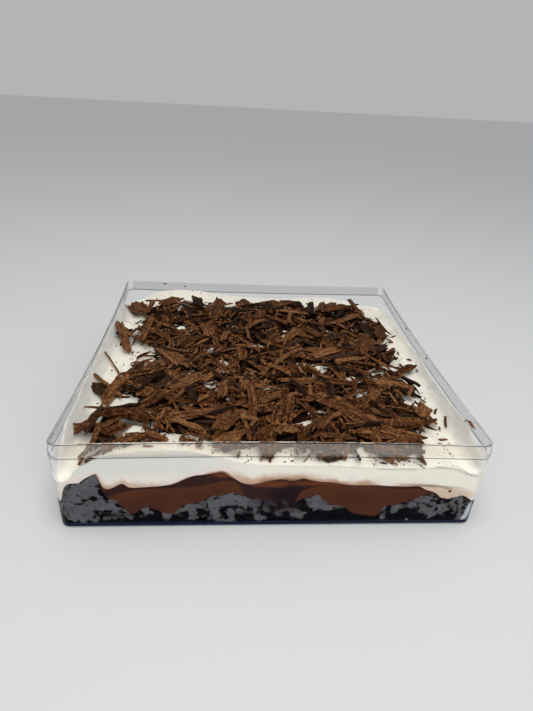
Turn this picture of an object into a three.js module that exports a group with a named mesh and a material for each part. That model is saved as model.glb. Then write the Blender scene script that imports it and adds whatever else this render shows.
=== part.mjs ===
// Cherry pudding: a layered dessert in a shallow square box of clear plastic.
//
// Millimetres, +Z up, front towards -Y. The origin is the middle of the box's underside.
// From the floor up: cherry juice, dark cake, chocolate pudding, cherry sauce,
// whipped cream, and a loose heap of chocolate shavings on top.

import * as THREE from 'three';
import { mergeVertices } from 'three/addons/utils/BufferGeometryUtils.js';

// ---- driving dimensions ----------------------------------------------------

const BOX_HEIGHT = 39.0;
const RIM_HALF = 79.8; // half of the outer side, at the top edge
const LEDGE_HALF = 80.3; // the band under the rim flares out a little
const WALL_TOP_HALF = 80.0; // below the band the wall steps in ...
const WALL_FOOT_HALF = 79.7; // ... and draws in a little further to the floor
const BAND_HEIGHT = 5.5;
const BOW = 2.0; // how far the middle of each side leans in at the rim
const STEP_HEIGHT = 0.7; // height over which the band's lower edge turns in
const WALL = 1.0;
const FLOOR = 0.6;
const CORNER_RADIUS = 4.0; // of the outer upright corners
const CORNER_STEPS = 5;
const SIDE_STEPS = 8; // between two corners
const FOOT_RADIUS = 0.6; // rounding between floor and wall, outside
const FOOT_STEPS = 3;

const GAP = 0.3; // between one piece and the next
const FILL_HALF = WALL_FOOT_HALF - WALL - GAP;
const FILL_RADIUS = CORNER_RADIUS - WALL - GAP;
const FILL_BASE = FLOOR + GAP;
const GRID_CELLS = 16; // of a layer, between its corner strips

const JUICE_TOP = 2.4;
const CAKE_BASE_LEVEL = 9.2;
const CAKE_LOWEST = 5.2;
const PUDDING_LEVEL = 19.1;
const SAUCE_THICKNESS = 0.9;
const CREAM_LEVEL = 29.0;
const LEAST_THICKNESS = 0.8; // of a layer where it pinches out

const HEAP_CENTRE = { x: -3.5, y: -7.0 };
const HEAP_HALF = { x: 67.5, y: 68.5 };
const HEAP_SQUARENESS = 5.0; // exponent of the heap's outline: 2 is an ellipse
const HEAP_THICKNESS = 5.2; // in the middle
const HEAP_EDGE_THICKNESS = 1.6;
const HEAP_TOP_LIMIT = 38.8;
const HEAP_SPOKES = 56;
const HEAP_RINGS = 8;

// ---- uneven surfaces -------------------------------------------------------

// A hill is a rounded rise (or, below zero, a hollow) at x, y with its spread.
const hill = (x, y, spread, rise) => ({ x, y, spread, rise });

// Cake stands in broken mounds, with hollows between that the pudding fills.
const CAKE_HILLS = [
  hill(-70, -78, 8, 15),
  hill(-47, -78, 8, -4),
  hill(-15, -76, 9, 8),
  hill(10, -76, 8, 5.5),
  hill(38, -76, 8, -5),
  hill(66, -76, 10, 6),
  hill(-78, -20, 13, -4),
  hill(-76, 28, 14, 7),
  hill(78, -22, 14, -4.5),
  hill(78, 30, 13, 7),
  hill(-48, 78, 13, 7),
  hill(6, 78, 14, -4),
  hill(56, 76, 12, 5),
  hill(-20, -10, 18, 3),
  hill(28, 18, 20, -3),
];

// Pudding lies in lenses, and gives way to the sauce in the middle of the front.
const PUDDING_HILLS = [
  hill(-20, -78, 8, 3.6),
  hill(0, -78, 6.5, -8.5),
  hill(20, -78, 7, 2.4),
  hill(75, -78, 8, -6),
  hill(-78, 5, 14, 2.5),
  hill(-78, 52, 12, -4),
  hill(78, -40, 14, 2),
  hill(78, 8, 10, -5),
  hill(-14, 78, 11, -5.5),
  hill(34, 78, 14, 2.2),
];

// Sauce gathers where the pudding leaves room for it.
const SAUCE_HILLS = [
  hill(-20, -78, 6, 2.4),
  hill(0, -78, 7, 8.2),
  hill(78, 8, 11, 4.4),
  hill(-14, 78, 12, 4.6),
];

// Cream is spread to the walls, higher in one sweep at the front, lower at the corners.
const CREAM_HILLS = [
  hill(-40, -80, 15, 6.8),
  hill(-80, -80, 9, -7.5),
  hill(80, -80, 10, -5),
  hill(-80, 80, 14, -4.5),
  hill(80, 80, 15, -5),
  hill(-38, 78, 22, 2.6),
  hill(30, 80, 16, 2.0),
  hill(-4, 0, 42, 2.0),
];

function sumOfHills(hills, x, y) {
  let rise = 0;
  for (const { x: cx, y: cy, spread, rise: top } of hills) {
    const distance = Math.hypot(x - cx, y - cy) / spread;
    rise += top * Math.exp(-0.5 * distance * distance);
  }
  return rise;
}

// Small dips and swells that run through every spooned layer.
function ripple(x, y, wavelength) {
  const k = (2 * Math.PI) / wavelength;
  return 0.5 * (Math.sin(k * (x + 0.35 * y)) + Math.sin(k * (0.8 * y - 0.45 * x) + 1.3));
}

const cakeTop = (x, y) =>
  Math.max(CAKE_LOWEST, CAKE_BASE_LEVEL + sumOfHills(CAKE_HILLS, x, y) + 1.2 * ripple(x, y, 23));

function puddingTop(x, y) {
  const spooned = PUDDING_LEVEL + sumOfHills(PUDDING_HILLS, x, y) + 0.5 * ripple(x, y, 41);
  return Math.max(spooned, cakeTop(x, y) + GAP + LEAST_THICKNESS);
}

const sauceTop = (x, y) =>
  puddingTop(x, y) + GAP + SAUCE_THICKNESS + sumOfHills(SAUCE_HILLS, x, y);

function creamTop(x, y) {
  const spread = CREAM_LEVEL + sumOfHills(CREAM_HILLS, x, y) + 0.45 * ripple(x, y, 34);
  return Math.max(spread, sauceTop(x, y) + GAP + LEAST_THICKNESS);
}

// ---- building blocks -------------------------------------------------------

// The sides lean in towards the rim, most in their middles, and what they hold follows.
function bowed(positions) {
  const placed = [];
  for (let i = 0; i < positions.length; i += 3) {
    const [x, y, z] = positions.slice(i, i + 3);
    const pull = (BOW * z) / BOX_HEIGHT;
    const alongX = Math.min(1, Math.abs(x) / RIM_HALF);
    const alongY = Math.min(1, Math.abs(y) / RIM_HALF);
    placed.push(x - (x / RIM_HALF) * pull * (1 - alongY ** 2));
    placed.push(y - (y / RIM_HALF) * pull * (1 - alongX ** 2));
    placed.push(z);
  }
  return placed;
}

function solid(name, positions, faces, colour, roughness, extras = {}) {
  const loose = new THREE.BufferGeometry();
  loose.setAttribute('position', new THREE.Float32BufferAttribute(bowed(positions), 3));
  loose.setIndex(faces);
  const geometry = mergeVertices(loose, 1e-4);
  geometry.computeVertexNormals();
  const material = new THREE.MeshStandardMaterial({ color: colour, roughness, metalness: 0, ...extras });
  const mesh = new THREE.Mesh(geometry, material);
  mesh.name = name;
  return mesh;
}

// Points of a square with round corners, anticlockwise from above.
function roundedSquare(half, radius, z) {
  const ring = [];
  for (let corner = 0; corner < 4; corner += 1) {
    const turn = (corner * Math.PI) / 2;
    const add = (x, y) => {
      ring.push([
        x * Math.cos(turn) - y * Math.sin(turn),
        x * Math.sin(turn) + y * Math.cos(turn),
        z,
      ]);
    };
    const inner = half - radius;
    for (let step = 0; step <= CORNER_STEPS; step += 1) {
      const angle = (step / CORNER_STEPS) * (Math.PI / 2);
      add(inner + radius * Math.cos(angle), inner + radius * Math.sin(angle));
    }
    for (let step = 1; step < SIDE_STEPS; step += 1) {
      add(inner * (1 - (2 * step) / SIDE_STEPS), half);
    }
  }
  return ring;
}

// A closed skin through rings of equal length, its two ends closed by a middle point.
function skinThroughRings(rings, firstMiddle, lastMiddle) {
  const count = rings[0].length;
  const positions = [...rings.flat(2), ...firstMiddle, ...lastMiddle];
  const first = rings.length * count;
  const last = first + 1;
  const faces = [];
  for (let i = 0; i < count; i += 1) {
    const j = (i + 1) % count;
    faces.push(first, j, i);
    for (let ring = 0; ring < rings.length - 1; ring += 1) {
      const low = ring * count;
      const high = low + count;
      faces.push(low + i, low + j, high + j);
      faces.push(low + i, high + j, high + i);
    }
    const end = (rings.length - 1) * count;
    faces.push(end + i, end + j, last);
  }
  return { positions, faces };
}

// ---- the clear box ---------------------------------------------------------

// The wall's section from the middle of the underside, up outside, over the rim
// and down inside to the middle of the floor.
function boxSection() {
  const section = [];
  const add = (half, z, radius) => section.push({ half, z, radius });
  for (let step = 0; step <= FOOT_STEPS; step += 1) {
    const angle = (step / FOOT_STEPS) * (Math.PI / 2);
    const inset = FOOT_RADIUS * (1 - Math.sin(angle));
    add(WALL_FOOT_HALF - inset, FOOT_RADIUS * (1 - Math.cos(angle)), CORNER_RADIUS - inset);
  }
  const ledge = BOX_HEIGHT - BAND_HEIGHT;
  add(WALL_TOP_HALF, ledge - STEP_HEIGHT, CORNER_RADIUS);
  add(LEDGE_HALF, ledge, CORNER_RADIUS + 0.4);
  add(RIM_HALF, BOX_HEIGHT, CORNER_RADIUS + 0.2);
  add(RIM_HALF - WALL, BOX_HEIGHT, CORNER_RADIUS - WALL + 0.2);
  add(LEDGE_HALF - WALL, ledge + 0.2, CORNER_RADIUS - WALL + 0.4);
  add(WALL_TOP_HALF - WALL, ledge - STEP_HEIGHT, CORNER_RADIUS - WALL);
  add(WALL_FOOT_HALF - WALL, FLOOR, CORNER_RADIUS - WALL);
  return section;
}

function makeBox() {
  const rings = boxSection().map(({ half, z, radius }) => roundedSquare(half, radius, z));
  const { positions, faces } = skinThroughRings(rings, [0, 0, 0], [0, 0, FLOOR]);
  return solid('clear_box', positions, faces, 0xdfe3e6, 0.05, { transparent: true, opacity: 0.25 });
}

// ---- the juice and the layers ----------------------------------------------

function makeJuice() {
  const rings = [
    roundedSquare(FILL_HALF, FILL_RADIUS, FILL_BASE),
    roundedSquare(FILL_HALF, FILL_RADIUS, JUICE_TOP),
  ];
  const { positions, faces } = skinThroughRings(rings, [0, 0, FILL_BASE], [0, 0, JUICE_TOP]);
  return solid('cherry_juice', positions, faces, 0x14101c, 0.15);
}

// Grid lines across the filling: a strip as wide as the corner radius at each side.
function fillingLines() {
  const inner = FILL_HALF - FILL_RADIUS;
  const lines = [-FILL_HALF];
  for (let i = 0; i <= GRID_CELLS; i += 1) lines.push(-inner + (2 * inner * i) / GRID_CELLS);
  lines.push(FILL_HALF);
  return lines;
}

// A layer between two uneven surfaces, as wide as the box inside.
function layer(name, under, over, colour, roughness) {
  const lines = fillingLines();
  const side = lines.length;
  const inner = FILL_HALF - FILL_RADIUS;
  const cornerPull = inner + FILL_RADIUS * Math.SQRT1_2;
  const positions = [];
  for (const height of [under, over]) {
    for (const y of lines) {
      for (const x of lines) {
        const atCorner = Math.abs(x) > inner && Math.abs(y) > inner;
        const px = atCorner ? Math.sign(x) * cornerPull : x;
        const py = atCorner ? Math.sign(y) * cornerPull : y;
        positions.push(px, py, height(px, py));
      }
    }
  }
  const low = (column, row) => row * side + column;
  const high = (column, row) => side * side + low(column, row);
  const faces = [];
  for (let row = 0; row < side - 1; row += 1) {
    for (let column = 0; column < side - 1; column += 1) {
      const a = [column, row];
      const b = [column + 1, row];
      const c = [column + 1, row + 1];
      const d = [column, row + 1];
      faces.push(high(...a), high(...b), high(...c), high(...a), high(...c), high(...d));
      faces.push(low(...a), low(...c), low(...b), low(...a), low(...d), low(...c));
    }
  }
  const end = side - 1;
  const wall = (from, to) => {
    faces.push(low(...from), low(...to), high(...to));
    faces.push(low(...from), high(...to), high(...from));
  };
  for (let i = 0; i < end; i += 1) {
    wall([i, 0], [i + 1, 0]);
    wall([end, i], [end, i + 1]);
    wall([end - i, end], [end - i - 1, end]);
    wall([0, end - i], [0, end - i - 1]);
  }
  return solid(name, positions, faces, colour, roughness);
}

const raised = (surface) => (x, y) => surface(x, y) + GAP;

// ---- the heap of shavings --------------------------------------------------

// The heap's reach from its middle at an angle: a square with round corners, ragged.
function heapReach(angle) {
  const c = Math.abs(Math.cos(angle)) / HEAP_HALF.x;
  const s = Math.abs(Math.sin(angle)) / HEAP_HALF.y;
  const even = (c ** HEAP_SQUARENESS + s ** HEAP_SQUARENESS) ** (-1 / HEAP_SQUARENESS);
  const ragged = 0.6 * Math.sin(5 * angle + 0.4) + 0.8 * Math.sin(9 * angle) + Math.sin(14 * angle + 2);
  return even * (1 + 0.016 * ragged);
}

// How thick the shavings lie: thinner towards the edge, in lumps all over.
function heapThickness(x, y, share) {
  const body = HEAP_EDGE_THICKNESS + (HEAP_THICKNESS - HEAP_EDGE_THICKNESS) * (1 - share ** 4);
  const lumps = 0.75 * ripple(x, y, 19) + 0.55 * ripple(y, x, 31);
  return Math.max(HEAP_EDGE_THICKNESS, body + lumps);
}

function makeShavings() {
  const surfaces = { under: [], over: [] };
  for (let ring = 1; ring <= HEAP_RINGS; ring += 1) {
    const share = ring / HEAP_RINGS;
    const under = [];
    const over = [];
    for (let spoke = 0; spoke < HEAP_SPOKES; spoke += 1) {
      const angle = (2 * Math.PI * spoke) / HEAP_SPOKES;
      const reach = heapReach(angle) * share;
      const x = HEAP_CENTRE.x + reach * Math.cos(angle);
      const y = HEAP_CENTRE.y + reach * Math.sin(angle);
      const bed = creamTop(x, y) + 2 * GAP;
      under.push([x, y, bed]);
      over.push([x, y, Math.min(HEAP_TOP_LIMIT, bed + heapThickness(x, y, share))]);
    }
    surfaces.under.push(under);
    surfaces.over.push(over);
  }
  const { x, y } = HEAP_CENTRE;
  const bed = creamTop(x, y) + 2 * GAP;
  const rings = [...surfaces.under, ...surfaces.over.reverse()];
  const crown = bed + heapThickness(x, y, 0);
  const { positions, faces } = skinThroughRings(rings, [x, y, bed], [x, y, crown]);
  return solid('chocolate_shavings', positions, faces, 0x5d3721, 0.7);
}

// ---- the dessert -----------------------------------------------------------

const dessert = new THREE.Group();
dessert.name = 'cherry_pudding';
dessert.add(makeBox());
dessert.add(makeJuice());
dessert.add(layer('dark_cake', () => JUICE_TOP + GAP, cakeTop, 0x3a393d, 0.9));
dessert.add(layer('chocolate_pudding', raised(cakeTop), puddingTop, 0x5a3222, 0.45));
dessert.add(layer('cherry_sauce', raised(puddingTop), sauceTop, 0x2a1418, 0.2));
dessert.add(layer('whipped_cream', raised(sauceTop), creamTop, 0xf0ece2, 0.6));
dessert.add(makeShavings());

export default dessert;
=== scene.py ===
"""Cherry pudding in a clear box: the finished look around the fixed model.

Sizes are in millimetres inside the functions, and become metres when a mesh is made.
The front of the dessert faces -Y, and the origin is the middle of the box's underside.
"""

import math
from types import SimpleNamespace

import bpy
import numpy as np
from bpy.props import FloatProperty, FloatVectorProperty, IntProperty, PointerProperty
from mathutils import Matrix, Vector


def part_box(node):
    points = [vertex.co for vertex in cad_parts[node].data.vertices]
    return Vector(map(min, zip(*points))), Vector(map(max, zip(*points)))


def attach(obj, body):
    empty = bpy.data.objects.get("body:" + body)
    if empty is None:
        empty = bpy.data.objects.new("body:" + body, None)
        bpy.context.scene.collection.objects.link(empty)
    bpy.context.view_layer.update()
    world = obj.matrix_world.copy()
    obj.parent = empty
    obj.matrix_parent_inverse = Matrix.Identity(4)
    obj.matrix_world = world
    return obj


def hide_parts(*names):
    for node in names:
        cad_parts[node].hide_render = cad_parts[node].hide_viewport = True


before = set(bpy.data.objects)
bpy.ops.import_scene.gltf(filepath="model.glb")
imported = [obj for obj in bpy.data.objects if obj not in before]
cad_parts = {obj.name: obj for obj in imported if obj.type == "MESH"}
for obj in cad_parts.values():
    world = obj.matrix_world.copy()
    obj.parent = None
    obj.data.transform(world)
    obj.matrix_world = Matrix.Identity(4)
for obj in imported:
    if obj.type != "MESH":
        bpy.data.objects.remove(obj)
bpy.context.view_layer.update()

bl_info = {
    "name": "Cherry pudding in a clear box",
    "version": (1, 0, 0),
    "blender": (4, 5, 0),
    "location": "View3D > Sidebar > Dessert",
    "description": "Makes a layered cherry pudding with chocolate shavings in a square clear box",
    "category": "Object",
}

MM = 0.001
BODY = "root"
TWO_PI = 2 * math.pi


def in_mm(corner):
    return np.array(corner) / MM


RIM_TOP = in_mm(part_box("clear_box")[1])[2]
JUICE_LINE = 1.9  # where the juice stands on the wall
HEAP_TOP = in_mm(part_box("chocolate_shavings")[1])[2]
RIM_HALF = 79.8  # half of the outer side at the rim, at the corners
FILL_HALF = 78.4  # half of the filling's side, before the sides lean in
LAP = 8 * FILL_HALF  # once round the filling
SHOWN_HIGH = 0.85  # how much too high the filling looks from in front, through the wall
BOX_CREASE, LAYER_CREASE, FLAKE_CREASE = (math.radians(a) for a in (24, 40, 30))  # sharper edges stay sharp


def colour(hex_code):
    """A linear colour from a plain six-digit one."""
    parts = [int(hex_code[i : i + 2], 16) / 255 for i in (0, 2, 4)]
    return [p / 12.92 if p <= 0.04045 else ((p + 0.055) / 1.055) ** 2.4 for p in parts]


# ---- what a user would change ------------------------------------------------


def length(name, description, value_mm):
    return FloatProperty(name=name, description=description, default=value_mm * MM, unit="LENGTH")


def angle(name, description, degrees):
    return FloatProperty(name=name, description=description, default=math.radians(degrees), subtype="ANGLE")


def number(name, description, value):
    return IntProperty(name=name, description=description, default=value, min=0)


def tint(name, description, hex_code):
    return FloatVectorProperty(
        name=name, description=description, default=colour(hex_code), subtype="COLOR", min=0, max=1
    )


class BoxSizes(bpy.types.PropertyGroup):
    """Sizes and colour of the clear box."""

    half: length("Half width", "Half of the outer side at its widest, under the band", 80.27)
    wall: length("Wall", "Thickness of the box's wall", 1.0)
    floor: length("Floor", "Thickness of the box's floor", 0.4)
    band: length("Band", "Height of the flared band under the rim", 5.5)
    flare: length("Flare", "How far the band stands out from the wall below it", 0.3)
    draft: length("Draft", "How far the wall draws in from the band to the foot", 0.3)
    corner: length("Corner radius", "Radius of the upright corners, outside", 4.0)
    foot: length("Foot radius", "Rounding between the wall and the underside", 0.4)
    lean: length("Lean", "How far the middle of each side leans in at the rim", 2.0)
    plastic: tint("Plastic", "Colour of the clear plastic", "fbfcfd")
    # A little hazy: painted reflection of the bright room, as a pale veil over what lies behind the front
    # band.
    band_plastic: tint("Band plastic", "The front of the band, a little hazy", "f8f3ec")
    rear_plastic: tint("Rear plastic", "The rest of the band, seen at a slant", "e3e4e6")
    # Grey in the rim's lip and the band's step: painted shade for the thin dark lines that the plastic's
    # edges show.
    edge_plastic: tint("Edge plastic", "Colour that gathers in the plastic's edges", "6a6d74")


class FillingColours(bpy.types.PropertyGroup):
    """Colours of the layers."""

    juice: tint("Juice", "Juice on the floor of the box", "0b0c14")
    # Painted light: the blue that the box's foot shows at the bottom of the juice.
    juice_edge: tint("Juice edge", "Juice where the floor's edge shows it", "20263f")
    # Grey patches where the crumb meets the wall.
    crumb_dry: tint("Dry crumb", "Cake pressed dry against the wall", "6c6b6f")
    crumb_wet: tint("Wet crumb", "Cake soaked with juice", "06070b")
    pudding: tint("Pudding", "Chocolate pudding", "4c2b1f")
    pudding_light: tint("Pudding, light", "Thin places in the pudding", "613820")
    sauce: tint("Sauce", "Cherry sauce", "3a2422")
    sauce_dark: tint("Sauce, dark", "Sauce where it is thickest", "1b1218")
    sauce_brown: tint("Sauce, brown", "Sauce mixed with pudding", "693a24")
    cream: tint("Cream", "Whipped cream", "fdf8ea")
    cream_stain: tint("Cream stain", "Cream stained by what lies under it", "cfa98c")
    cream_blush: tint("Cream blush", "Cream faintly coloured by juice", "f3e6df")
    cream_tan: tint("Cream, tan", "Cream soaked by the sauce", "dcc6ac")
    # At half strength this colour also gives the painted shade line along the cream's top edge on the front
    # wall.
    cream_film: tint("Cream film", "Cream smeared thin up the walls", "e5e4dd")
    # Painted shade on the high sweep of cream at the front left, cooler and darker.
    cream_cool: tint("Cream, cool", "The high sweep of cream at the front left", "ecebe5")


class ShavingSizes(bpy.types.PropertyGroup):
    """Numbers, sizes and colours of the chocolate shavings."""

    slabs: number("Slabs", "Broad flakes", 330)
    strips: number("Strips", "Narrow curved flakes", 900)
    slivers: number("Slivers", "Thin splinters", 1500)
    crumbs: FloatProperty(name="Crumbs", description="Crumbs for each square metre, at most", default=260000)
    crumb_small: length("Smallest crumb", "Radius of the smallest crumbs", 0.15)
    crumb_large: length("Largest crumb", "Radius of the largest crumbs", 0.5)
    seed: IntProperty(name="Seed", description="Start of the random draws", default=7)
    # The dark colour is the chocolate's darkest streaks and also painted shade: in the relief's hollows, on
    # deep shavings and on the core. The light colour is dry streaks and also painted light on the relief's
    # crests.
    dark: tint("Dark", "Chocolate in its darkest streaks", "2f1406")
    middle: tint("Middle", "Most of the chocolate", "623b1f")
    light: tint("Light", "Dry, scraped streaks", "976a44")
    dull: tint("Dull", "Shavings with a grey bloom", "4a3425")


class StageSizes(bpy.types.PropertyGroup):
    """The floor, the lights and the camera."""

    floor_half: length("Floor", "Half of the floor's side", 3000)
    floor_colour: tint("Floor colour", "The plain pale floor", "e6e7e8")
    camera_place: FloatVectorProperty(
        name="Camera", description="Where the camera stands", default=(-0.018, -0.2198, 0.1517),
        subtype="TRANSLATION", unit="LENGTH",
    )
    pitch: angle("Pitch", "How far the camera looks down", 28.56)
    roll: angle("Roll", "How far the camera leans", 3.31)
    yaw: angle("Yaw", "How far the camera looks to the right", 4.98)
    lens: FloatProperty(name="Lens", description="Focal length", default=25.73, unit="CAMERA")


SETTINGS = {
    "dessert_box": BoxSizes,
    "dessert_filling": FillingColours,
    "dessert_shavings": ShavingSizes,
    "dessert_stage": StageSizes,
}


# ---- meshes ------------------------------------------------------------------


def leaning(points):
    """Leans straight sides in towards the rim, most in their middles, with what they hold."""
    x, y, z = points.T
    pull = bpy.context.scene.dessert_box.lean / MM * z / RIM_TOP
    along_x = np.minimum(1, np.abs(x) / RIM_HALF)
    along_y = np.minimum(1, np.abs(y) / RIM_HALF)
    in_x = x - x / RIM_HALF * pull * (1 - along_y**2)
    in_y = y - y / RIM_HALF * pull * (1 - along_x**2)
    return np.column_stack([in_x, in_y, z])


def put(name, data):
    """An object of the scene from its data."""
    piece = bpy.data.objects.new(name, data)
    bpy.context.scene.collection.objects.link(piece)
    return piece


def new_piece(name, points, faces, materials, smooth_angle=None):
    """A mesh object at the origin from straight-sided points in millimetres and arrays of faces."""
    points = leaning(points)
    sizes = np.concatenate([np.full(len(f), f.shape[1], np.int32) for f in faces])
    corners = np.concatenate([f.reshape(-1) for f in faces]).astype(np.int32)
    mesh = bpy.data.meshes.new(name)
    mesh.vertices.add(len(points))
    mesh.vertices.foreach_set("co", (points * MM).astype(np.float32).reshape(-1))
    mesh.loops.add(len(corners))
    mesh.loops.foreach_set("vertex_index", corners)
    mesh.polygons.add(len(sizes))
    starts = np.concatenate([[0], np.cumsum(sizes)[:-1]]).astype(np.int32)
    mesh.polygons.foreach_set("loop_start", starts)
    mesh.polygons.foreach_set("loop_total", sizes)
    mesh.polygons.foreach_set("use_smooth", np.ones(len(sizes), bool))
    mesh.update(calc_edges=True)
    mesh.validate()
    if smooth_angle is not None:
        mesh.set_sharp_from_angle(angle=smooth_angle)
    for material in materials:
        mesh.materials.append(material)
    return put(name, mesh)


def triples(collection, name):
    """Three numbers of each point or face of a mesh, as rows."""
    flat = np.zeros(3 * len(collection), np.float32)
    collection.foreach_get(name, flat)
    return flat.reshape(-1, 3)


def add_values(mesh, **named):
    """Named numbers at each point of a mesh, for its material to read."""
    for name, values in named.items():
        layer = mesh.attributes.new(name, "FLOAT", "POINT")
        layer.data.foreach_set("value", np.asarray(values, np.float32))


def hand_over(piece, slot, *nodes):
    """Says which body a piece rides on and hides the parts that it stands for; the slot is not used."""
    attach(piece, BODY)
    if nodes:
        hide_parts(*nodes)


class Outline:
    """A square with round corners, as places and outward ways that hold at any size."""

    def __init__(self, side_steps, corner_steps):
        places, ways = [], []
        for quarter in range(4):
            turn = np.array([[0, -1], [1, 0]])
            spin = np.linalg.matrix_power(turn, quarter)
            along = np.linspace(-1, 1, side_steps, endpoint=False)
            angle = np.linspace(0, math.pi / 2, corner_steps, endpoint=False)
            side = np.stack([along, np.full(side_steps, -1.0)], 1)
            corner = np.tile([1.0, -1.0], (corner_steps, 1))
            out = np.tile([0.0, -1.0], (side_steps, 1))
            bend = np.stack([np.sin(angle), -np.cos(angle)], 1)
            places.append(np.concatenate([side, corner]) @ spin.T)
            ways.append(np.concatenate([out, bend]) @ spin.T)
        self.places = np.concatenate(places)
        self.ways = np.concatenate(ways)

    def ring(self, half, radius, every=1):
        """The points at a half width and corner radius, each a number or one for each point."""
        half = np.broadcast_to(half, len(self.places))[::every, None]
        radius = np.broadcast_to(radius, len(self.places))[::every, None]
        return self.places[::every] * (half - radius) + self.ways[::every] * radius


def skin(rings, start, end):
    """Points and faces of a closed skin through rings, from one middle point to the other.

    A ring may have twice or half as many points as the one before it.
    """
    counts = [len(ring) for ring in rings]
    first = np.concatenate([[0], np.cumsum(counts)])
    points = np.concatenate([*rings, [start], [end]])
    quads, triangles = [], []
    for ring, count in enumerate(counts[:-1]):
        after = counts[ring + 1]
        low, high = first[ring], first[ring + 1]
        if after == count:
            i = np.arange(count)
            j = (i + 1) % count
            quads.append(np.stack([low + i, low + j, high + j, high + i], 1))
        elif after * 2 == count:
            i = np.arange(after)
            j = (i + 1) % after
            middle, last = low + 2 * i + 1, low + 2 * j
            triangles.append(np.stack([low + 2 * i, middle, high + i], 1))
            triangles.append(np.stack([middle, last, high + j], 1))
            triangles.append(np.stack([middle, high + j, high + i], 1))
        else:
            i = np.arange(count)
            j = (i + 1) % count
            middle, last = high + 2 * i + 1, high + 2 * j
            triangles.append(np.stack([low + i, middle, high + 2 * i], 1))
            triangles.append(np.stack([low + i, low + j, middle], 1))
            triangles.append(np.stack([low + j, last, middle], 1))
    i = np.arange(counts[0])
    triangles.append(np.stack([np.full(len(i), first[-1]), (i + 1) % counts[0], i], 1))
    i = np.arange(counts[-1])
    j = (i + 1) % counts[-1]
    triangles.append(np.stack([first[-2] + i, first[-2] + j, np.full(len(i), first[-1] + 1)], 1))
    return points, [np.concatenate(faces) for faces in (quads, triangles) if faces]


# ---- uneven surfaces ---------------------------------------------------------


def soft_noise(x, y, size, seed):
    """Noise from -1 to 1 over x and y, with swells about as wide as size."""
    lattice = np.random.default_rng(seed).uniform(-1, 1, (128, 128))
    u, v = x / size + 64.37, y / size + 64.71
    i, j = np.floor(u).astype(int), np.floor(v).astype(int)
    s, t = u - i, v - j
    s, t = s * s * (3 - 2 * s), t * t * (3 - 2 * t)
    i, j, k, m = i % 128, j % 128, (i + 1) % 128, (j + 1) % 128
    low = lattice[i, j] * (1 - s) + lattice[k, j] * s
    high = lattice[i, m] * (1 - s) + lattice[k, m] * s
    return low * (1 - t) + high * t


def rough_noise(x, y, size, seed, octaves=3):
    """Layers of ever finer noise."""
    return sum(soft_noise(x, y, size / 2**n, seed + n) / 2**n for n in range(octaves))


def smooth_step(low, high, value):
    share = np.clip((value - low) / (high - low), 0, 1)
    return share * share * (3 - 2 * share)


# Each line below goes once round the box, anticlockwise from above. Its places are
# millimetres from the middle of a wall, left to right as seen from outside.

CREAM_EDGE = {
    "front": [
        (-78, 21.8), (-74.6, 22.6), (-72.6, 24.6), (-71, 27.6), (-69, 29.4), (-66, 31.2), (-62, 33.6),
        (-58, 35.1), (-52, 36), (-45, 36.5), (-38, 36.8), (-33, 36.5), (-29, 35.9), (-26, 34.9),
        (-22, 33.9), (-15, 31.7), (-10, 30.5), (-5, 29.8), (10, 29.5), (22, 29.4), (30, 28.9), (40, 28.5),
        (50, 28.4), (56, 28.8), (62, 29.2), (66, 28.7), (70, 27.7), (74, 25.6),
    ],
    "right": [
        (-77, 24), (-68, 25.8), (-56, 27.7), (-34, 28.6), (-21, 28.8), (-6, 30.2), (10, 30.6), (29, 30),
        (50, 28.3), (64, 27), (76, 25),
    ],
    "rear": [
        (-66, 27), (-55, 29.8), (-45, 31.8), (-35, 32), (-20, 30.8), (-5, 30.6), (10, 31.2), (24, 32.4),
        (36, 34.2), (45, 34.6), (56, 34), (63, 32), (68, 29), (76, 25.4),
    ],
    "left": [(-70, 26.4), (-50, 29.6), (-22, 29.2), (8, 30.4), (38, 29.8), (60, 27.6), (74, 22.8)],
}
CREAM_FOOT = {
    "front": [
        (-78, 13.4), (-76.8, 15), (-76, 18.8), (-74.8, 21.2), (-73.4, 22.1), (-71, 22.1), (-69.8, 22.2),
        (-68.2, 23.9), (-66.4, 25.1), (-64.4, 26.2), (-63.4, 27), (-62.9, 24.6), (-62.3, 20.4), (-60, 19.2),
        (-57.4, 20.2), (-55.6, 21.6), (-54.4, 21.8), (-53, 20), (-51, 19.7), (-46, 20), (-42, 20.2),
        (-38, 20.9), (-35, 22.1), (-32, 23.8), (-29, 25), (-26, 25.4), (-23, 26), (-20, 26.6), (-18, 25.9),
        (-16, 24.5), (-14, 23.2), (-12, 21.7), (-10, 20.8), (-8, 20.7), (-5, 21.6), (-2, 22.5), (2, 23.2),
        (4, 23), (6, 22.4), (8, 22.7), (10.6, 23.8), (13, 22.8), (16, 22.2), (20, 21.9), (25, 21),
        (30, 20.4), (36, 20.5), (40, 20.2), (45, 19.8), (50, 19.9), (54, 20.3), (56, 19.5), (57.6, 18.3),
        (60, 17.7), (62.4, 16.4), (64, 14.3), (68, 13.7), (70, 14.6), (72.4, 15.8), (74.4, 14.6),
        (77, 12.4),
    ],
    "right": [
        (-75, 12.2), (-66, 15.4), (-58, 19), (-40, 20.6), (-18, 19.6), (4, 22.4), (18, 20.4), (40, 19.4),
        (66, 18),
    ],
    "rear": [
        (-70, 18.6), (-48, 20.6), (-26, 19.8), (-6, 23.6), (12, 24.2), (26, 20.6), (50, 21.4), (72, 20),
    ],
    "left": [
        (-68, 19.8), (-44, 21.4), (-20, 20.4), (6, 22), (22, 24.4), (36, 21.2), (56, 19.2), (68, 16.6),
        (76, 13.6),
    ],
}
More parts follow.
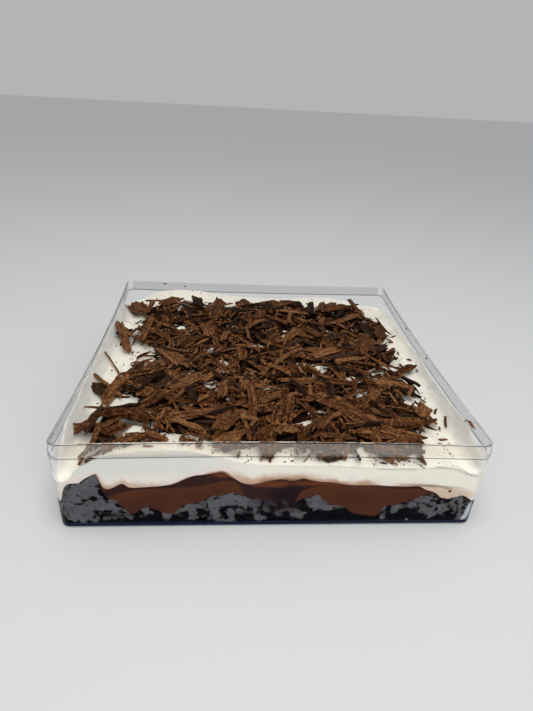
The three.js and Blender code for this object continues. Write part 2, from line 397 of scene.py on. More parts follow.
PUDDING_EDGE = {
    "front": [
        (-77, 7), (-62, 7), (-60.4, 15.4), (-58, 16.6), (-56, 17.4), (-54, 18.2), (-51, 18.9), (-47, 19.1),
        (-40, 19.2), (-32, 19.7), (-27, 20.2), (-24, 21.1), (-21, 22.1), (-18, 22.8), (-15.6, 22.6),
        (-13.6, 21.2), (-12, 19.2), (-11.2, 17), (-9.6, 8), (8, 8), (9.6, 17.2), (12, 18.6), (15, 19.6),
        (19, 20.5), (25, 20.2), (33, 19.4), (45, 18.9), (52, 18.9), (55, 18.7), (57.6, 18), (60, 17.4),
        (62, 15.6), (64, 8),
    ],
    "right": [
        (-72, 9), (-62, 16.8), (-40, 20.1), (-18, 19.1), (-6, 15.4), (2, 9.6), (10, 15.4), (18, 19.4),
        (40, 18.8), (60, 16.7), (70, 9.6),
    ],
    "rear": [
        (-70, 11.5), (-62, 17.8), (-48, 20), (-26, 19.2), (-14, 14.4), (-4, 8.6), (14, 8.6), (22, 17.2),
        (36, 20.1), (52, 20.5), (66, 17.2),
    ],
    "left": [
        (-72, 11.5), (-62, 18.2), (-44, 20.7), (-20, 19.8), (2, 20.5), (12, 14.4), (20, 9.6), (34, 18.8),
        (54, 19.6), (66, 13.4),
    ],
}
CAKE_EDGE = {
    "front": [
        (-78, 12.6), (-76.8, 14.6), (-76, 18.6), (-74.8, 21), (-73.4, 22), (-71, 22), (-69.8, 22.1),
        (-68.2, 23.8), (-66.4, 25), (-64.4, 26.1), (-63.5, 26.9), (-62.9, 22), (-61.6, 16), (-60, 14.6),
        (-58, 13), (-56.4, 11.6), (-55, 9.8), (-53.6, 7), (-51.8, 6.2), (-50.2, 7.4), (-48.8, 10),
        (-47.4, 11), (-45.4, 9.8), (-43.4, 9), (-41.8, 7.8), (-39.8, 6.8), (-37, 7.1), (-35.4, 9),
        (-34, 10.8), (-31.8, 11.9), (-28.4, 11.9), (-26, 13.3), (-23.8, 15), (-22, 15.7), (-20.2, 15.3),
        (-18.2, 16), (-17, 17), (-15.4, 16.4), (-13, 15.6), (-10, 14.4), (-6.6, 14.2), (-3, 12.6), (1, 12),
        (3, 14), (6, 12.4), (10, 13.2), (13, 14.6), (15.2, 14.9), (16.4, 16), (17.6, 15.4), (19, 13.4),
        (21, 12), (24, 10.8), (27.4, 10.2), (29, 9), (30.2, 7.4), (31.6, 6), (34, 5.4), (41, 5.4),
        (42.2, 8.2), (43.1, 10.7), (44.4, 10.1), (46, 9.8), (47.6, 10.1), (49.2, 11.3), (51, 12.4),
        (53.2, 13), (55, 14.4), (57, 15.4), (59, 16.3), (61.4, 16.4), (63, 14.8), (65, 13.6), (68, 13.6),
        (70, 14.5), (72.4, 15.7), (74.4, 14.5), (77, 12.3),
    ],
    "right": [
        (-75, 12), (-66, 14), (-56, 9.8), (-44, 7.2), (-33, 8.6), (-25, 12), (-14, 10.8), (-6, 14.2),
        (2, 15.2), (9, 12.4), (17, 9.4), (28, 6.4), (38, 7.4), (46, 11.7), (57, 14), (66, 16.8),
    ],
    "rear": [
        (-74, 17.4), (-66, 14.8), (-56, 10), (-46, 8.5), (-36, 12.2), (-24, 11), (-14, 14.2), (-5, 15.4),
        (5, 13), (14, 14.6), (24, 9.6), (34, 6.9), (46, 8.3), (55, 12.4), (66, 16),
    ],
    "left": [
        (-74, 18.8), (-66, 16.2), (-55, 9.2), (-44, 7), (-34, 10.5), (-22, 12.5), (-12, 9.4), (0, 8.2),
        (9, 13), (18, 15.6), (26, 14), (36, 8.3), (48, 7.3), (58, 12), (67, 14.6), (75, 12.6),
    ],
}
# How far a film of cream is smeared up the walls above its edge.
CREAM_SMEAR = {
    "front": [(-77, 1), (-73, 0), (73, 0), (77, 0.6)],
    "right": [
        (-77, 4), (-73, 7), (-66, 8), (-56, 6.8), (-34, 5.8), (-6, 4.2), (10, 3.4), (30, 3), (50, 2.6),
        (70, 1.4),
    ],
    "rear": [(-74, 0.4), (74, 0.6)],
    "left": [(-74, 1), (-62, 4.4), (-50, 7.4), (-20, 8), (8, 7.4), (40, 7.6), (62, 7.2), (74, 3.6)],
}
WALLS = ("front", "right", "rear", "left")


def around_walls(line):
    """The places and values of a line that goes round the box."""
    places = [k * 2 * FILL_HALF + FILL_HALF + a for k, wall in enumerate(WALLS) for a, _ in line[wall]]
    return places, [value for wall in WALLS for _, value in line[wall]]


class Surface:
    """A height over the filling: set along the walls by a line, and by a level inside."""

    def __init__(self, edge, level, reach, swells):
        fine = np.arange(0, LAP, 0.25)
        around = np.interp(fine, *around_walls(edge), period=LAP) - SHOWN_HIGH
        kernel = np.exp(-0.5 * (np.arange(-8, 9) / 1.8) ** 2)
        wrapped = np.concatenate([around[-8:], around, around[:8]])
        self.fine = fine
        self.around = np.convolve(wrapped, kernel / kernel.sum(), "valid")
        self.level = level
        self.reach = reach
        self.swells = swells

    def __call__(self, x, y):
        at_wall = np.interp(lap_place(x, y), self.fine, self.around, period=LAP)
        near = smooth_step(FILL_HALF - self.reach, FILL_HALF, off_middle(x, y))
        return self.level * (1 - near) + at_wall * near + self.swells(x, y) * (1 - 0.85 * near)


def off_middle(x, y):
    """How far out a place lies, measured square to the nearest wall."""
    return np.maximum(np.abs(x), np.abs(y))


def lap_place(x, y):
    """How far round the walls a place lies, from the front left corner."""
    across = np.maximum(off_middle(x, y), 1e-6)  # never quite zero, for the division
    u, v = x / across * FILL_HALF, y / across * FILL_HALF
    front, right, rear = (-y >= np.abs(x)), (x > np.abs(y)), (y >= np.abs(x))
    side = 2 * FILL_HALF
    return np.select(
        [front, right, rear],
        [FILL_HALF + u, side + FILL_HALF + v, 2 * side + FILL_HALF - u],
        3 * side + FILL_HALF - v,
    )


def no_swells(x, y):
    return np.zeros_like(x)


def cream_swells(x, y):
    """What the spatula left: wide swells, a few long drags and small dents."""
    wide = 0.7 * rough_noise(x, y, 24, 11, 2)
    drags = 0.8 * soft_noise(x * 0.5 + y * 0.3, y - x * 0.2, 6.5, 17)
    return wide + drags + 0.45 * rough_noise(x, y, 3.4, 19, 2)


def cream_smear(x, y):
    """The film of cream that the spatula drew up the walls, thinning out in streaks."""
    place = lap_place(x, y)
    rise = np.interp(place, *around_walls(CREAM_SMEAR), period=LAP)
    streaks = 1 + 0.1 * soft_noise(place, place * 0, 9.0, 23) + 0.03 * soft_noise(place, place * 0, 3.0, 29)
    inset = FILL_HALF - off_middle(x, y)
    return rise * streaks * np.exp(-np.maximum(inset, 0) / 3.2)


def cream_peeks(x, y):
    """Small peaks of cream that show between the shavings."""
    shift = 1.3 * soft_noise(x, y, 2.4, 103)
    total = 0.0
    for k, (a, b, r) in enumerate(BARE):
        if r < PEAKED_GAP and b > GAPS_BEHIND:
            c, s = math.cos(2.4 * k), math.sin(2.4 * k)
            u, v = (x + shift - a) * c + (y - b) * s, (y + shift - b) * c - (x - a) * s
            near = (u / (1.2 * r)) ** 2 + (v / (0.75 * r)) ** 2
            height = min(1.1 * r, 2.5) if r < WIDE_GAP else 1.3
            total += height * np.exp(-(near**2))
    return total * (0.8 + 0.25 * soft_noise(x, y, 1.6, 107))


cream_line = Surface(CREAM_EDGE, 31.0, 20, cream_swells)
foot_line = Surface(CREAM_FOOT, 20.8, 30, no_swells)
pudding_line = Surface(PUDDING_EDGE, 19.8, 30, no_swells)
cake_line = Surface(CAKE_EDGE, 10, 30, no_swells)


def juice_top(x, y):
    return JUICE_LINE + 0.12 * rough_noise(x, y, 5, 71)


def cake_top(x, y):
    """Broken crumb stands in mounds with rough tops."""
    return cake_line(x, y) + 0.75 * rough_noise(x, y, 2.6, 31, 3)


def pudding_top(x, y):
    return np.maximum(pudding_line(x, y) + 0.2 * soft_noise(x, y, 4, 41), cake_top(x, y))


def cream_foot(x, y):
    """The underside of the cream, which is also the top of the sauce."""
    uneven = foot_line(x, y) + 0.15 * rough_noise(x, y, 4, 51, 3)
    return np.maximum(uneven, pudding_top(x, y))


def cream_top(x, y):
    uneven = cream_line(x, y) + cream_smear(x, y) + cream_peeks(x, y) + 0.12 * soft_noise(x, y, 3.5, 61)
    return np.maximum(uneven, cream_foot(x, y) + 0.2)


# ---- dabs on the walls -------------------------------------------------------

# Each dab: place along the wall, height, half length, half height, tilt in degrees.

# Grey patches on the crumb at the front wall.
DRY_FRONT = [
    (-70, 12, 8, 8, 0), (-69, 19, 6.6, 3.6, 8), (-66, 23, 3.2, 3.4, 25), (-64.6, 24.6, 2, 2.6, 0),
    (-73.4, 8, 4, 4.6, 0), (-64.6, 12, 3.6, 4, 0), (-70.6, 5, 2.2, 2.2, 0), (-60.4, 10.6, 3.2, 2.2, -35),
    (-58.4, 7.6, 2.6, 0.8, -10), (-59.6, 5.2, 5.6, 0.8, 6), (-66.4, 4.4, 1.6, 1.2, 0),
    (-55.4, 9.2, 2.2, 0.8, -25), (-54.2, 5.2, 1.6, 0.6, -30), (-47.2, 8.3, 1.9, 2.2, 0),
    (-39.8, 5.5, 2, 1.8, 0), (-33.6, 9, 3.4, 1.6, 20), (-30.4, 7, 1.9, 2.8, 0), (-28.4, 10.9, 3, 1.3, 0),
    (-25.8, 6.2, 0.8, 0.8, 0), (-25, 12.6, 2.6, 1.2, 20), (-22.2, 10.4, 2.9, 2.6, 0),
    (-18.8, 13.2, 4.6, 3, 0), (-14.8, 13.4, 3.2, 2.4, 0), (-21.4, 6.4, 2.2, 3, 0),
    (-18.4, 3.9, 3.8, 1.4, 0), (-15.8, 6.4, 1.4, 2.6, 0), (-11, 12, 3.4, 2.4, 0), (-6.4, 11.6, 2.6, 1.8, 0),
    (-7, 8, 2, 1.4, 0), (-5, 4.6, 2, 1.8, 0), (-2.6, 9.6, 1.1, 2, 0), (-12.6, 8.6, 2.4, 1.5, 0),
    (3, 12.6, 1.8, 0.8, -40), (4.6, 8.2, 2.6, 0.9, 15), (7.6, 8.2, 2.8, 0.8, -10), (10, 6.2, 2.6, 2.2, 0),
    (2, 6.4, 1.3, 0.8, 10), (17, 13.4, 1.6, 2.3, 0), (17.6, 10.6, 3.2, 2.2, 0), (21.6, 9.3, 4.6, 1.5, 0),
    (26.6, 9.6, 3.2, 0.9, 5), (43, 7.6, 1, 3, 5), (48, 9.4, 1.3, 2.2, -35), (57.6, 12.4, 3.6, 2.4, 20),
    (54.4, 10.8, 2.4, 1.5, 30), (51, 10.6, 1.5, 0.8, 0), (60.6, 9, 4.2, 2.3, 0), (63, 11, 3.2, 2.4, -20),
    (62, 6.6, 2.1, 2.4, 0), (66, 9, 3.4, 3, 0), (71, 13, 3, 2.4, 10), (73.4, 10.4, 2.6, 4, 0),
    (74.4, 6, 2, 4, 0), (76, 3.6, 1.2, 1.2, 0), (70.2, 10.4, 1.7, 1, 0), (-17, 15.6, 3.4, 1.4, 0),
    (-10.6, 14, 3, 1.3, 0), (-22, 15.2, 2, 1, 0), (-27, 12.6, 2.6, 0.9, 15), (-5.4, 13, 3, 1.3, 0),
    (-32, 11.2, 2.4, 0.8, 0), (16.2, 15, 1.5, 1.4, 0), (14, 13.2, 1.5, 1, 0), (59.6, 15.2, 3, 1.2, 10),
    (56, 14.2, 2.2, 0.9, 30), (72, 15, 2.4, 0.9, 0), (-75.4, 17, 2, 4, 0), (-72, 21, 2.6, 1, 0),
    (-58, 12.4, 2.4, 1, -35), (-74, 14, 2.6, 4, 0), (-1.6, 12, 2.4, 1.2, 0), (24.6, 10.2, 2.4, 0.9, 0),
    (-35, 9.6, 1.2, 1.4, 0),
]
WET_FRONT = [
    (-65.6, 15, 1.9, 0.5, 0), (-69.4, 15, 0.9, 0.5, 0), (-70.4, 12.6, 1, 0.5, 0), (-64.2, 7, 2.6, 1.4, -15),
    (-61.4, 8, 1.1, 0.5, 0), (-17.6, 5.4, 1.1, 1.3, 0), (-23.2, 13.4, 1.6, 0.6, 25),
    (-14.2, 12.6, 1, 0.7, 0), (-19, 8.6, 1.6, 0.7, -15), (-27, 9, 1.2, 0.5, 10), (-16, 10.2, 1.4, 0.5, 0),
    (-9, 9.6, 1.1, 0.6, 20), (59, 11.2, 2.2, 0.6, -10), (64.2, 12.4, 1, 1.4, 20), (64, 8, 0.8, 1.2, 0),
    (72, 9, 0.6, 2.6, 10), (74.6, 9.4, 0.4, 2.4, 5),
]
# Pale bluish dabs on the crumb: painted highlights, such as the bright lines along the box's front corners.
BRIGHT_FRONT = [
    (-19, 3, 3.2, 0.3, 0), (-4, 2.9, 1.3, 0.3, 0), (-27.2, 2.8, 0.5, 0.4, 0), (53, 3, 0.9, 0.8, 0),
    (76.9, 7.4, 1.7, 6.4, -4), (75.8, 4.2, 1.4, 2.6, -15), (-77.7, 12, 0.5, 6, 0),
]
SOAKED_FRONT = [(2, 12, 12, 6, -8), (-58, 6, 5, 3, 0)]
DARK_FRONT = [(6, 15.6, 8, 4.4, 8)]
BROWN_FRONT = [
    (-1, 20.9, 7.6, 1.5, 0), (13, 21.2, 8, 1, 0), (24, 20.8, 9, 0.8, -4), (40, 20, 8, 0.5, 0),
    (-20, 25.2, 3.6, 1.3, 0), (-61.4, 19.4, 1.3, 0.8, 0),
]
TAN_FRONT = [
    (67, 16.4, 8.5, 2.8, -5), (60, 19, 5, 1.4, -12), (73, 15.6, 3, 1.4, 0), (6, 24.2, 8, 1.2, 0),
    (-12, 23.4, 4, 1.4, -30),
]
STREAKS_FRONT = [(59, 20.3, 8.5, 0.45, -4), (64.5, 19.6, 2.6, 0.3, -20), (34.8, 21.4, 1.6, 0.7, 0)]
SPECKS_FRONT = [
    (67.3, 17.7, 0.9, 0.8, 0), (55.6, 28.7, 1, 0.3, 0), (73.4, 26.2, 0.5, 1.1, 20),
    (-41, 35.3, 0.5, 0.4, 0),
]


def other_walls(seed, count, heights, sizes, flat):
    """Dabs like those of the front, strewn over the other three walls."""
    rng = np.random.default_rng(seed)
    places = rng.uniform(FILL_HALF, LAP - FILL_HALF, count)
    z = heights[0] + (heights[1] - heights[0]) * rng.beta(1.4, 1.8, count)
    long = sizes[0] + (sizes[1] - sizes[0]) * rng.beta(1.2, 3, count)
    return list(zip(places, z, long, long * rng.uniform(*flat, count), rng.uniform(-40, 40, count)))


def ahead_of(middle, place):
    """How far round the walls a place lies from one that is measured from the front wall's middle."""
    return (place - FILL_HALF - middle + LAP / 2) % LAP - LAP / 2


def dab_depth(place, z, dabs):
    """How far inside the nearest dab a point lies, in millimetres; below zero outside."""
    best = np.full(len(z), -2.0)
    for middle, height, long, high, tilt in dabs:
        ahead = ahead_of(middle, place)
        above = z + SHOWN_HIGH - height
        c, s = math.cos(math.radians(tilt)), math.sin(math.radians(tilt))
        u = (ahead * c + above * s) / long
        v = (above * c - ahead * s) / high
        best = np.maximum(best, (1 - np.hypot(u, v)) * min(long, high))
    return best


# ---- loose shavings ----------------------------------------------------------


def grid_faces(steps, rows):
    """Faces of a closed flake: a grid on top, one below and a rim between them."""
    top = np.arange(steps * rows).reshape(steps, rows)
    low = top + steps * rows

    def quads(g, flip):
        found = np.stack([g[:-1, :-1], g[1:, :-1], g[1:, 1:], g[:-1, 1:]], -1).reshape(-1, 4)
        return found[:, ::-1] if flip else found

    edge = np.concatenate([top[:-1, 0], top[-1, :-1], top[:0:-1, -1], top[0, :0:-1]])
    after = np.roll(edge, -1)
    below = steps * rows
    rim = np.stack([edge, edge + below, after + below, after], 1)
    return np.concatenate([quads(top, False), quads(low, True), rim])


def bent(along, height, turn, reach):
    """Bends a length into an arc that turns by so much over its reach."""
    turn = turn if abs(turn) > 0.02 else 0.02
    radius = reach / turn
    angle = along / radius
    return (radius + height) * np.sin(angle), (radius + height) * np.cos(angle) - radius


def flake(rng, long, wide, thick, steps, rows, curl, bend, ragged, pointed):
    """One scraped flake about its middle: its points, and the place of each along its grain."""
    u = np.linspace(-1, 1, steps)[:, None] * np.ones(rows)
    v = np.ones((steps, 1)) * np.linspace(-1, 1, rows)
    taper, blunt = rng.uniform(0.0, 0.25, 2), rng.uniform(5, 18, 2)
    if rng.uniform() < pointed:
        taper[0], blunt[0] = rng.uniform(0.3, 0.75), rng.uniform(1.5, 4)
    ends = [np.abs(u) ** blunt[k] * taper[k] for k in (0, 1)]
    narrow = 1 - np.where(u < 0, *ends)
    torn = rng.normal(0, ragged, (steps, 2))
    across = wide / 2 * v * (narrow + np.where(v < 0, torn[:, :1], torn[:, 1:]) * np.abs(v))
    slant = rng.normal(0, 0.6) * v * wide / 2
    end_torn = rng.normal(0, 0.1 * wide + 0.2, (2, rows))[(u > 0).astype(int), np.arange(rows)]
    along = long / 2 * u + np.abs(u) ** 4 * (slant + end_torn)
    across = across + rng.normal(0, 0.025) * long * (u**2 - 0.33)
    folds = rng.normal(0, 0.02 * wide + 0.1, (1, rows)) + rng.normal(0, 0.05, (steps, rows))
    waves = 0.1 * np.sin(along * rng.uniform(0.4, 1.4) + rng.uniform(0, 6))
    body = thick * (1 - 0.3 * v**2) * (1 - 0.3 * u**4) * rng.uniform(0.8, 1.15, (steps, rows))
    sides = []
    for height in (body / 2, -body / 2):
        y, z = bent(across, height, curl, wide)
        x, z = bent(along, z + folds + waves, bend, long)
        sides.append(np.stack([x, y, z], -1).reshape(-1, 3))
    grain = np.stack([along, across, np.zeros_like(along)], -1).reshape(-1, 3)
    return np.concatenate(sides), np.concatenate([grain, grain])


def turned(axis, angle):
    return np.array(Matrix.Rotation(angle, 3, axis))


class Heap:
    """Lets pieces down one by one, each onto what already lies there."""

    cell = 0.6  # side of one cell of the height map

    def __init__(self, ground, limit):
        self.count = int(2 * FILL_HALF / self.cell)
        middles = (np.arange(self.count) + 0.5) * self.cell - FILL_HALF
        x, y = np.meshgrid(middles, middles, indexing="ij")
        self.ground = ground(x, y)
        self.top = self.ground.copy()
        self.limit = limit

    def cells(self, x, y):
        i = np.clip(((x + FILL_HALF) / self.cell).astype(int), 0, self.count - 1)
        j = np.clip(((y + FILL_HALF) / self.cell).astype(int), 0, self.count - 1)
        return i, j

    def depth(self, x, y):
        at = self.cells(x, y)
        return self.top[at] - self.ground[at]

    def buried(self, points):
        """How far points lie below what covers the heap around them: the depth that gives the shavings
        painted shade.
        """
        cover = self.top
        for _ in range(2):
            padded = np.pad(cover, 1, mode="edge")
            shifts = [padded[i : i + self.count, j : j + self.count] for i in range(3) for j in range(3)]
            cover = 0.5 * np.max(shifts, 0) + 0.5 * np.mean(shifts, 0)
        return cover[self.cells(points[:, 0], points[:, 1])] - points[:, 2]

    def slope(self, x, y, reach):
        """The turn that lays a piece on the slope under it."""
        ring = np.linspace(0, TWO_PI, 12, endpoint=False)
        h = self.top[self.cells(x + reach * np.cos(ring), y + reach * np.sin(ring))]
        lean = Vector((-np.mean(h * np.cos(ring)) * 2 / reach, -np.mean(h * np.sin(ring)) * 2 / reach, 1.0))
        return np.array(Vector((0, 0, 1)).rotation_difference(lean.normalized()).to_matrix())

    def rest(self, points, steps, rows, share):
        """How high a piece comes to lie, a share of it clear of what is below and the rest sunk in.

        None when it would stand out over the limit.
        """
        fine_u = between(steps, max(4, int(np.ptp(points, 0).max() / self.cell)))
        fine_v = between(rows, 2 * rows + 2)
        top, low = (np.einsum("ai,ijk,bj->abk", fine_u, side, fine_v).reshape(-1, 3)
                    for side in points.reshape(2, steps, rows, 3))
        i, j = self.cells(low[:, 0], low[:, 1])
        under = np.minimum(low[:, 2], top[:, 2])
        lift = np.quantile(self.top[i, j] - under, share)
        if points[:, 2].max() + lift > self.limit:
            return None
        np.maximum.at(self.top, (i, j), np.maximum(low[:, 2], top[:, 2]) + lift)
        return lift


def between(count, fine):
    """Weights that spread a row of points into a finer one."""
    places = np.linspace(0, count - 1, fine)
    return np.maximum(0, 1 - np.abs(places[:, None] - np.arange(count)))


# Places where the cream shows through: x, y and radius.
BARE = [
    (-60, 1, 4.4), (-44, 28, 3), (-21, -10, 2.4), (-36, -20, 2.4), (18, -10, 2.2), (25, -12.6, 2.2),
    (40, -25, 2.4), (42, -35, 2.4), (52, -18, 2.6), (62, -14, 3.6), (62, -42, 3.4), (13, -62, 3),
    (-61, -44, 5), (-53, -61, 4.4), (-12, 57, 2.4), (-5, 51, 2), (-33, -43, 2.2), (12, 27, 2),
    (-41, 57, 3.4), (-61, 56, 4.6), (-57, -8, 3.4), (-73, 44, 6), (-74, -12, 6), (-71, -22, 6),
    (-74, -45, 5), (-70, -72, 3), (-39, -72, 4), (-29, 66, 6), (30, 60, 3), (-76, 0, 7), (50, 70, 8),
    (68, 50, 8), (71, 13, 6), (73, -40, 5), (75, -48, 5), (75, -2, 5), (67, -64, 6), (4, -75, 2.4),
    (29, 42, 2), (-73, 33, 3), (20, -50, 2), (32, -76, 2.4), (-10, -77, 2), (-56, -78, 2.4), (62, -74, 6),
    (69, -74, 7), (-60, 54, 3), (-44, 62, 2.4), (-30, 60, 2.6), (31, 63, 2.6), (51, 61, 3), (-50, 42, 1.6),
    (-15, 36, 1.6), (-66, -14, 3), (71, -4, 3), (-47, -50, 2), (-24, -30, 1.8), (3, -30, 1.6),
    (36, 27, 1.6), (-28, 5, 1.6), (-4, 8, 1.6), (55, 30, 1.8), (-48, 12, 1.6), (-76, -68, 4),
    (-57, -67, 2.6),
]


NARROW_GAP = 3.0  # radius up to which slivers lie across a bare place
WIDE_GAP = 3.2  # radius from which the cream's peak in one is low
PEAKED_GAP = 4.5  # radius up to which the cream peaks in one
GAPS_BEHIND = -66  # only bare places behind this y have slivers and peaks


def heap_cover(x, y):
    """How likely a shaving falls at a place, from 0 outside the heap to 1 well inside."""
    wander = 4 * rough_noise(x, y, 13, 83, 2)
    left = 0.06 * smooth_step(-80, -77, x) + 0.94 * smooth_step(-67, -57, x + wander)
    right = smooth_step(70, 62, x + wander)
    rear = smooth_step(60, 50, y + 1.4 * wander)
    front = 0.3 + 0.7 * smooth_step(-74, -68, y)
    corner = 1 - 0.92 * smooth_step(-62, -68, x) * smooth_step(-56, -62, y)
    return left * right * rear * front * corner


def core_top(x, y):
    """The matted shavings at the bottom of the heap; they dip under the cream where it is thin."""
    bare = sum(np.exp(-((x - a) ** 2 + (y - b) ** 2) / (r + 1.5) ** 2) for a, b, r in BARE)
    inside = smooth_step(78, 68, off_middle(x, y))
    thick = heap_cover(x, y) * inside * 2.9 + 0.7 * rough_noise(x, y, 5, 91, 3) - 2.2 - 4 * bare
    crumbs = 0.3 * rough_noise(x, y, 1.6, 97, 2)
    return np.clip(cream_top(x, y) + thick + crumbs, cream_top(x, y) - 1.2, HEAP_TOP - 1)


# Each kind: steps, rows, lengths, widths, thicknesses, usual curl and bend, raggedness, share that stands up.
KINDS = {
    "slabs": (9, 7, (8, 22), (3.8, 9.5), (0.6, 1.1), 0.9, 0.35, 0.06, 0.2),
    "strips": (8, 4, (8, 24), (1.4, 4.0), (0.6, 1.2), 1.1, 0.45, 0.07, 0.3),
    "slivers": (5, 2, (2, 11), (0.6, 1.8), (0.4, 0.8), 0.3, 0.5, 0.08, 0.3),
}

TOP_ROOM = 1.8  # left free over the chance shavings, for those on top
# The dull shade also serves as painted shade for shavings towards the rear.
DULL_SHADE = -0.5  # gives a shaving a grey bloom, as every shade under about 0.15 does
SLAB_WIDTH, STRIP_WIDTH = 3.5, 1.3  # above which a listed shaving is of that kind
CLEAR_SHARE = 0.92  # how much of a chance shaving stays clear of what is below it
CLEAR_OVER_GAPS = 0.7  # the same for slivers across bare places
CLEAR_SHARES = (0.9, 0.75, 0.5)  # the same for the listed shavings, tried in turn, so that they sink deeper
PLACES_TRIED = 12  # for a chance shaving, before it is given up

# Shavings that lie on top of the heap: x, y, length, width and turn in degrees.
TOP_SHAVINGS = [
    (-73, 13, 26, 4.2, 110), (-72, -13, 18, 1.1, 130), (-72, -32, 21, 1.8, 136), (-67, -35, 15, 5.6, 68),
    (-66, -50, 15, 3.4, 15), (-60, -57, 13, 4.6, 8), (-73, -61, 8, 3, 12), (-67, -67, 10, 2.4, 50),
    (-71, 52, 20, 9, 112), (-52, 57, 18, 6.4, 64), (-36, 54, 15, 6, 95), (-25, 47, 29, 6.4, 80),
    (-8, 59, 19, 9, 108), (7, 60, 13, 9, 4), (21, 61, 12, 8, 0), (40, 56, 17, 9, 70),
    (58, 57, 20, 3.4, 100), (-40, 61, 9, 5, 30), (-63, 46, 18, 3, 80), (69, 35, 11, 2, 4),
    (47, 35, 20, 5.4, 34), (53, 5, 19, 8.6, 80), (27, 18, 14, 5.4, 118), (36, 12, 21, 2.6, 122),
    (15, 15, 14, 5, 50), (-5, 29, 13, 5, 35), (-43, -12, 18, 7, 128), (-58, -24, 17, 4.2, 24),
    (-37, -33, 15, 6, 36), (-33, -44, 13, 3.6, 108), (-33, -57, 25, 3.6, 10), (-18, -62, 13, 7, 62),
    (6, -54, 16, 6, 80), (10, -65, 12, 8, 20), (34, -57, 19, 8.4, 128), (53, -62, 21, 4.2, 14),
    (60, -46, 24, 9, 150), (57, -32, 19, 4, 176), (66, -28, 9, 6, 100), (33, -32, 12, 5.4, 2),
    (44, -38, 26, 1.8, 86), (22, -47, 17, 3.4, 136), (25, -36, 18, 3, 100), (69, -14, 9, 4, 30),
    (6, -22, 14, 3.4, 130), (11, -8, 23, 2.4, 50), (-20, 12, 14, 3.4, 80), (-30, 20, 17, 4.6, 100),
    (-61, 20, 24, 4, 84), (64, 20, 15, 6, 70), (45, 50, 16, 6, 20), (-20, -40, 13, 4.4, 88),
    (-8, -48, 20, 3.6, 92), (18, -63, 13, 6, 60), (-50, -38, 15, 5.2, 40), (-68.5, -74, 9, 3.4, 100),
    (-70, -71, 8, 2, 60), (-52, -73, 8, 4.5, 15), (-44, -71, 9, 4, 160), (-34, -73, 7, 2, 95),
    (-27, -74, 9, 1.8, 80), (-17, -73, 10, 6, 20), (-3, -74, 9, 7, 100), (10, -73, 11, 3.2, 92),
    (23, -76, 5, 3.4, 30), (22, -71, 12, 5, 175), (38, -73, 11, 3.6, 88), (48, -75, 5, 3, 120),
    (49, -70, 17, 6, 170), (30, -70, 8, 3, 140), (63, -53, 12, 6, 60), (0, 41, 15, 5.4, 80),
    (30, -5, 16, 4.2, 35), (-65, -35, 13, 2.2, 58), (74, -52, 8, 1, 72), (69, -62, 4.4, 1, 18),
    (70, -56, 3, 0.8, 60), (66.5, -66, 1.6, 0.9, 0), (71, -64, 1.4, 0.8, 40), (-54, -58, 13, 4.4, 166),
    (-50, -53, 12, 2.6, 28), (-60, -64, 9, 3.6, 40), (-44, -61, 10, 2.4, 70), (70, 42, 6, 2.2, 150),
    (66, 45, 5, 1.6, 60), (70, 19, 4.4, 2.4, 30), (74, -3, 3, 1, 20), (63, -37, 5, 1.5, 60),
    (71, 6, 3, 0.8, 80), (74, 26, 2.4, 0.8, 30), (70, -36, 3, 0.9, 110), (72.6, -44, 4, 0.9, 60),
    (75, -12, 2, 0.9, 70),
]

# Dark, dull shavings that lie on top: x, y, length, width and turn in degrees. Towards the rear their dark,
# dull colour is painted shade.
DARK_SHAVINGS = [
    (41, 55, 15, 8, 92), (-36, 54, 15, 5.4, 97), (-40, 44, 18, 3, 118), (66, -29, 10, 5.6, 105),
    (20, 61, 12, 6, 2), (-52, -33, 16, 2.4, 60), (47, 44, 17, 2.2, 60), (34, 22, 20, 2.2, 126),
    (-33, -44, 13, 3.2, 106), (56, 18, 15, 4, 100), (26, -36, 17, 3, 100), (4, 50, 12, 4.4, 70),
    (-60, -52, 13, 2.4, 20), (-6, -9, 12, 2, 60), (13, -38, 12, 2, 115), (-15, 30, 14, 3, 70),
    (-47, 22, 13, 2.2, 95), (44, -62, 16, 2.4, 12), (-20, -55, 12, 2.2, 40), (30, 51, 13, 3.4, 85),
]


def shaving_of(kind, rng, long, wide, pointed=0.0, uneven=0.4):
    """A flake of a kind at a length and width, curled and bent by chance."""
    steps, rows, _, _, thicks, curl, bend, ragged, _ = KINDS[kind]
    return flake(
        rng, long, wide, rng.uniform(*thicks), steps, rows,
        rng.normal(0, uneven) * curl, rng.normal(0, uneven) * bend, ragged, pointed,
    )


def lay(heap, rng, kind, points, grain, x, y, turn, roll, share, found, shade=None, lean=0.0):
    """Lets one shaving down at a place; says whether it could lie there."""
    steps, rows = KINDS[kind][:2]
    spin = turned("Z", turn) @ turned("Y", rng.normal(0, 0.16)) @ turned("X", roll)
    placed = points @ (turned("X", lean) @ heap.slope(x, y, np.ptp(points[:, 0]) * 0.3) @ spin).T + (x, y, 0)
    edge = FILL_HALF - 0.3
    placed[:, :2] -= np.maximum(placed[:, :2].max(0) - edge, 0) + np.minimum(placed[:, :2].min(0) + edge, 0)
    lift = heap.rest(placed, steps, rows, share)
    if lift is None:
        return False
    shade = rng.uniform() if shade is None else shade
    found.append((placed + (0, 0, lift), grain + (rng.uniform(0, 400), 0, shade)))
    return True


# Bits that cling to the walls: x, y, height, length, width, tilt in degrees and shade.
WALL_BITS = [
    (78.9, -62, 36.2, 3.8, 1.4, -6, 1.6), (78.9, 20.6, 38, 1.4, 0.8, 10, 0.3),
    (78.9, -11.6, 38, 1.2, 0.7, -20, 0.3), (-57, 78.9, 38.2, 1.4, 0.7, 0, 0.3),
    (-45, 78.9, 36.8, 1, 0.7, 30, 0.3), (78.9, -57.9, 34.8, 0.9, 0.7, 0, 0.2),
]


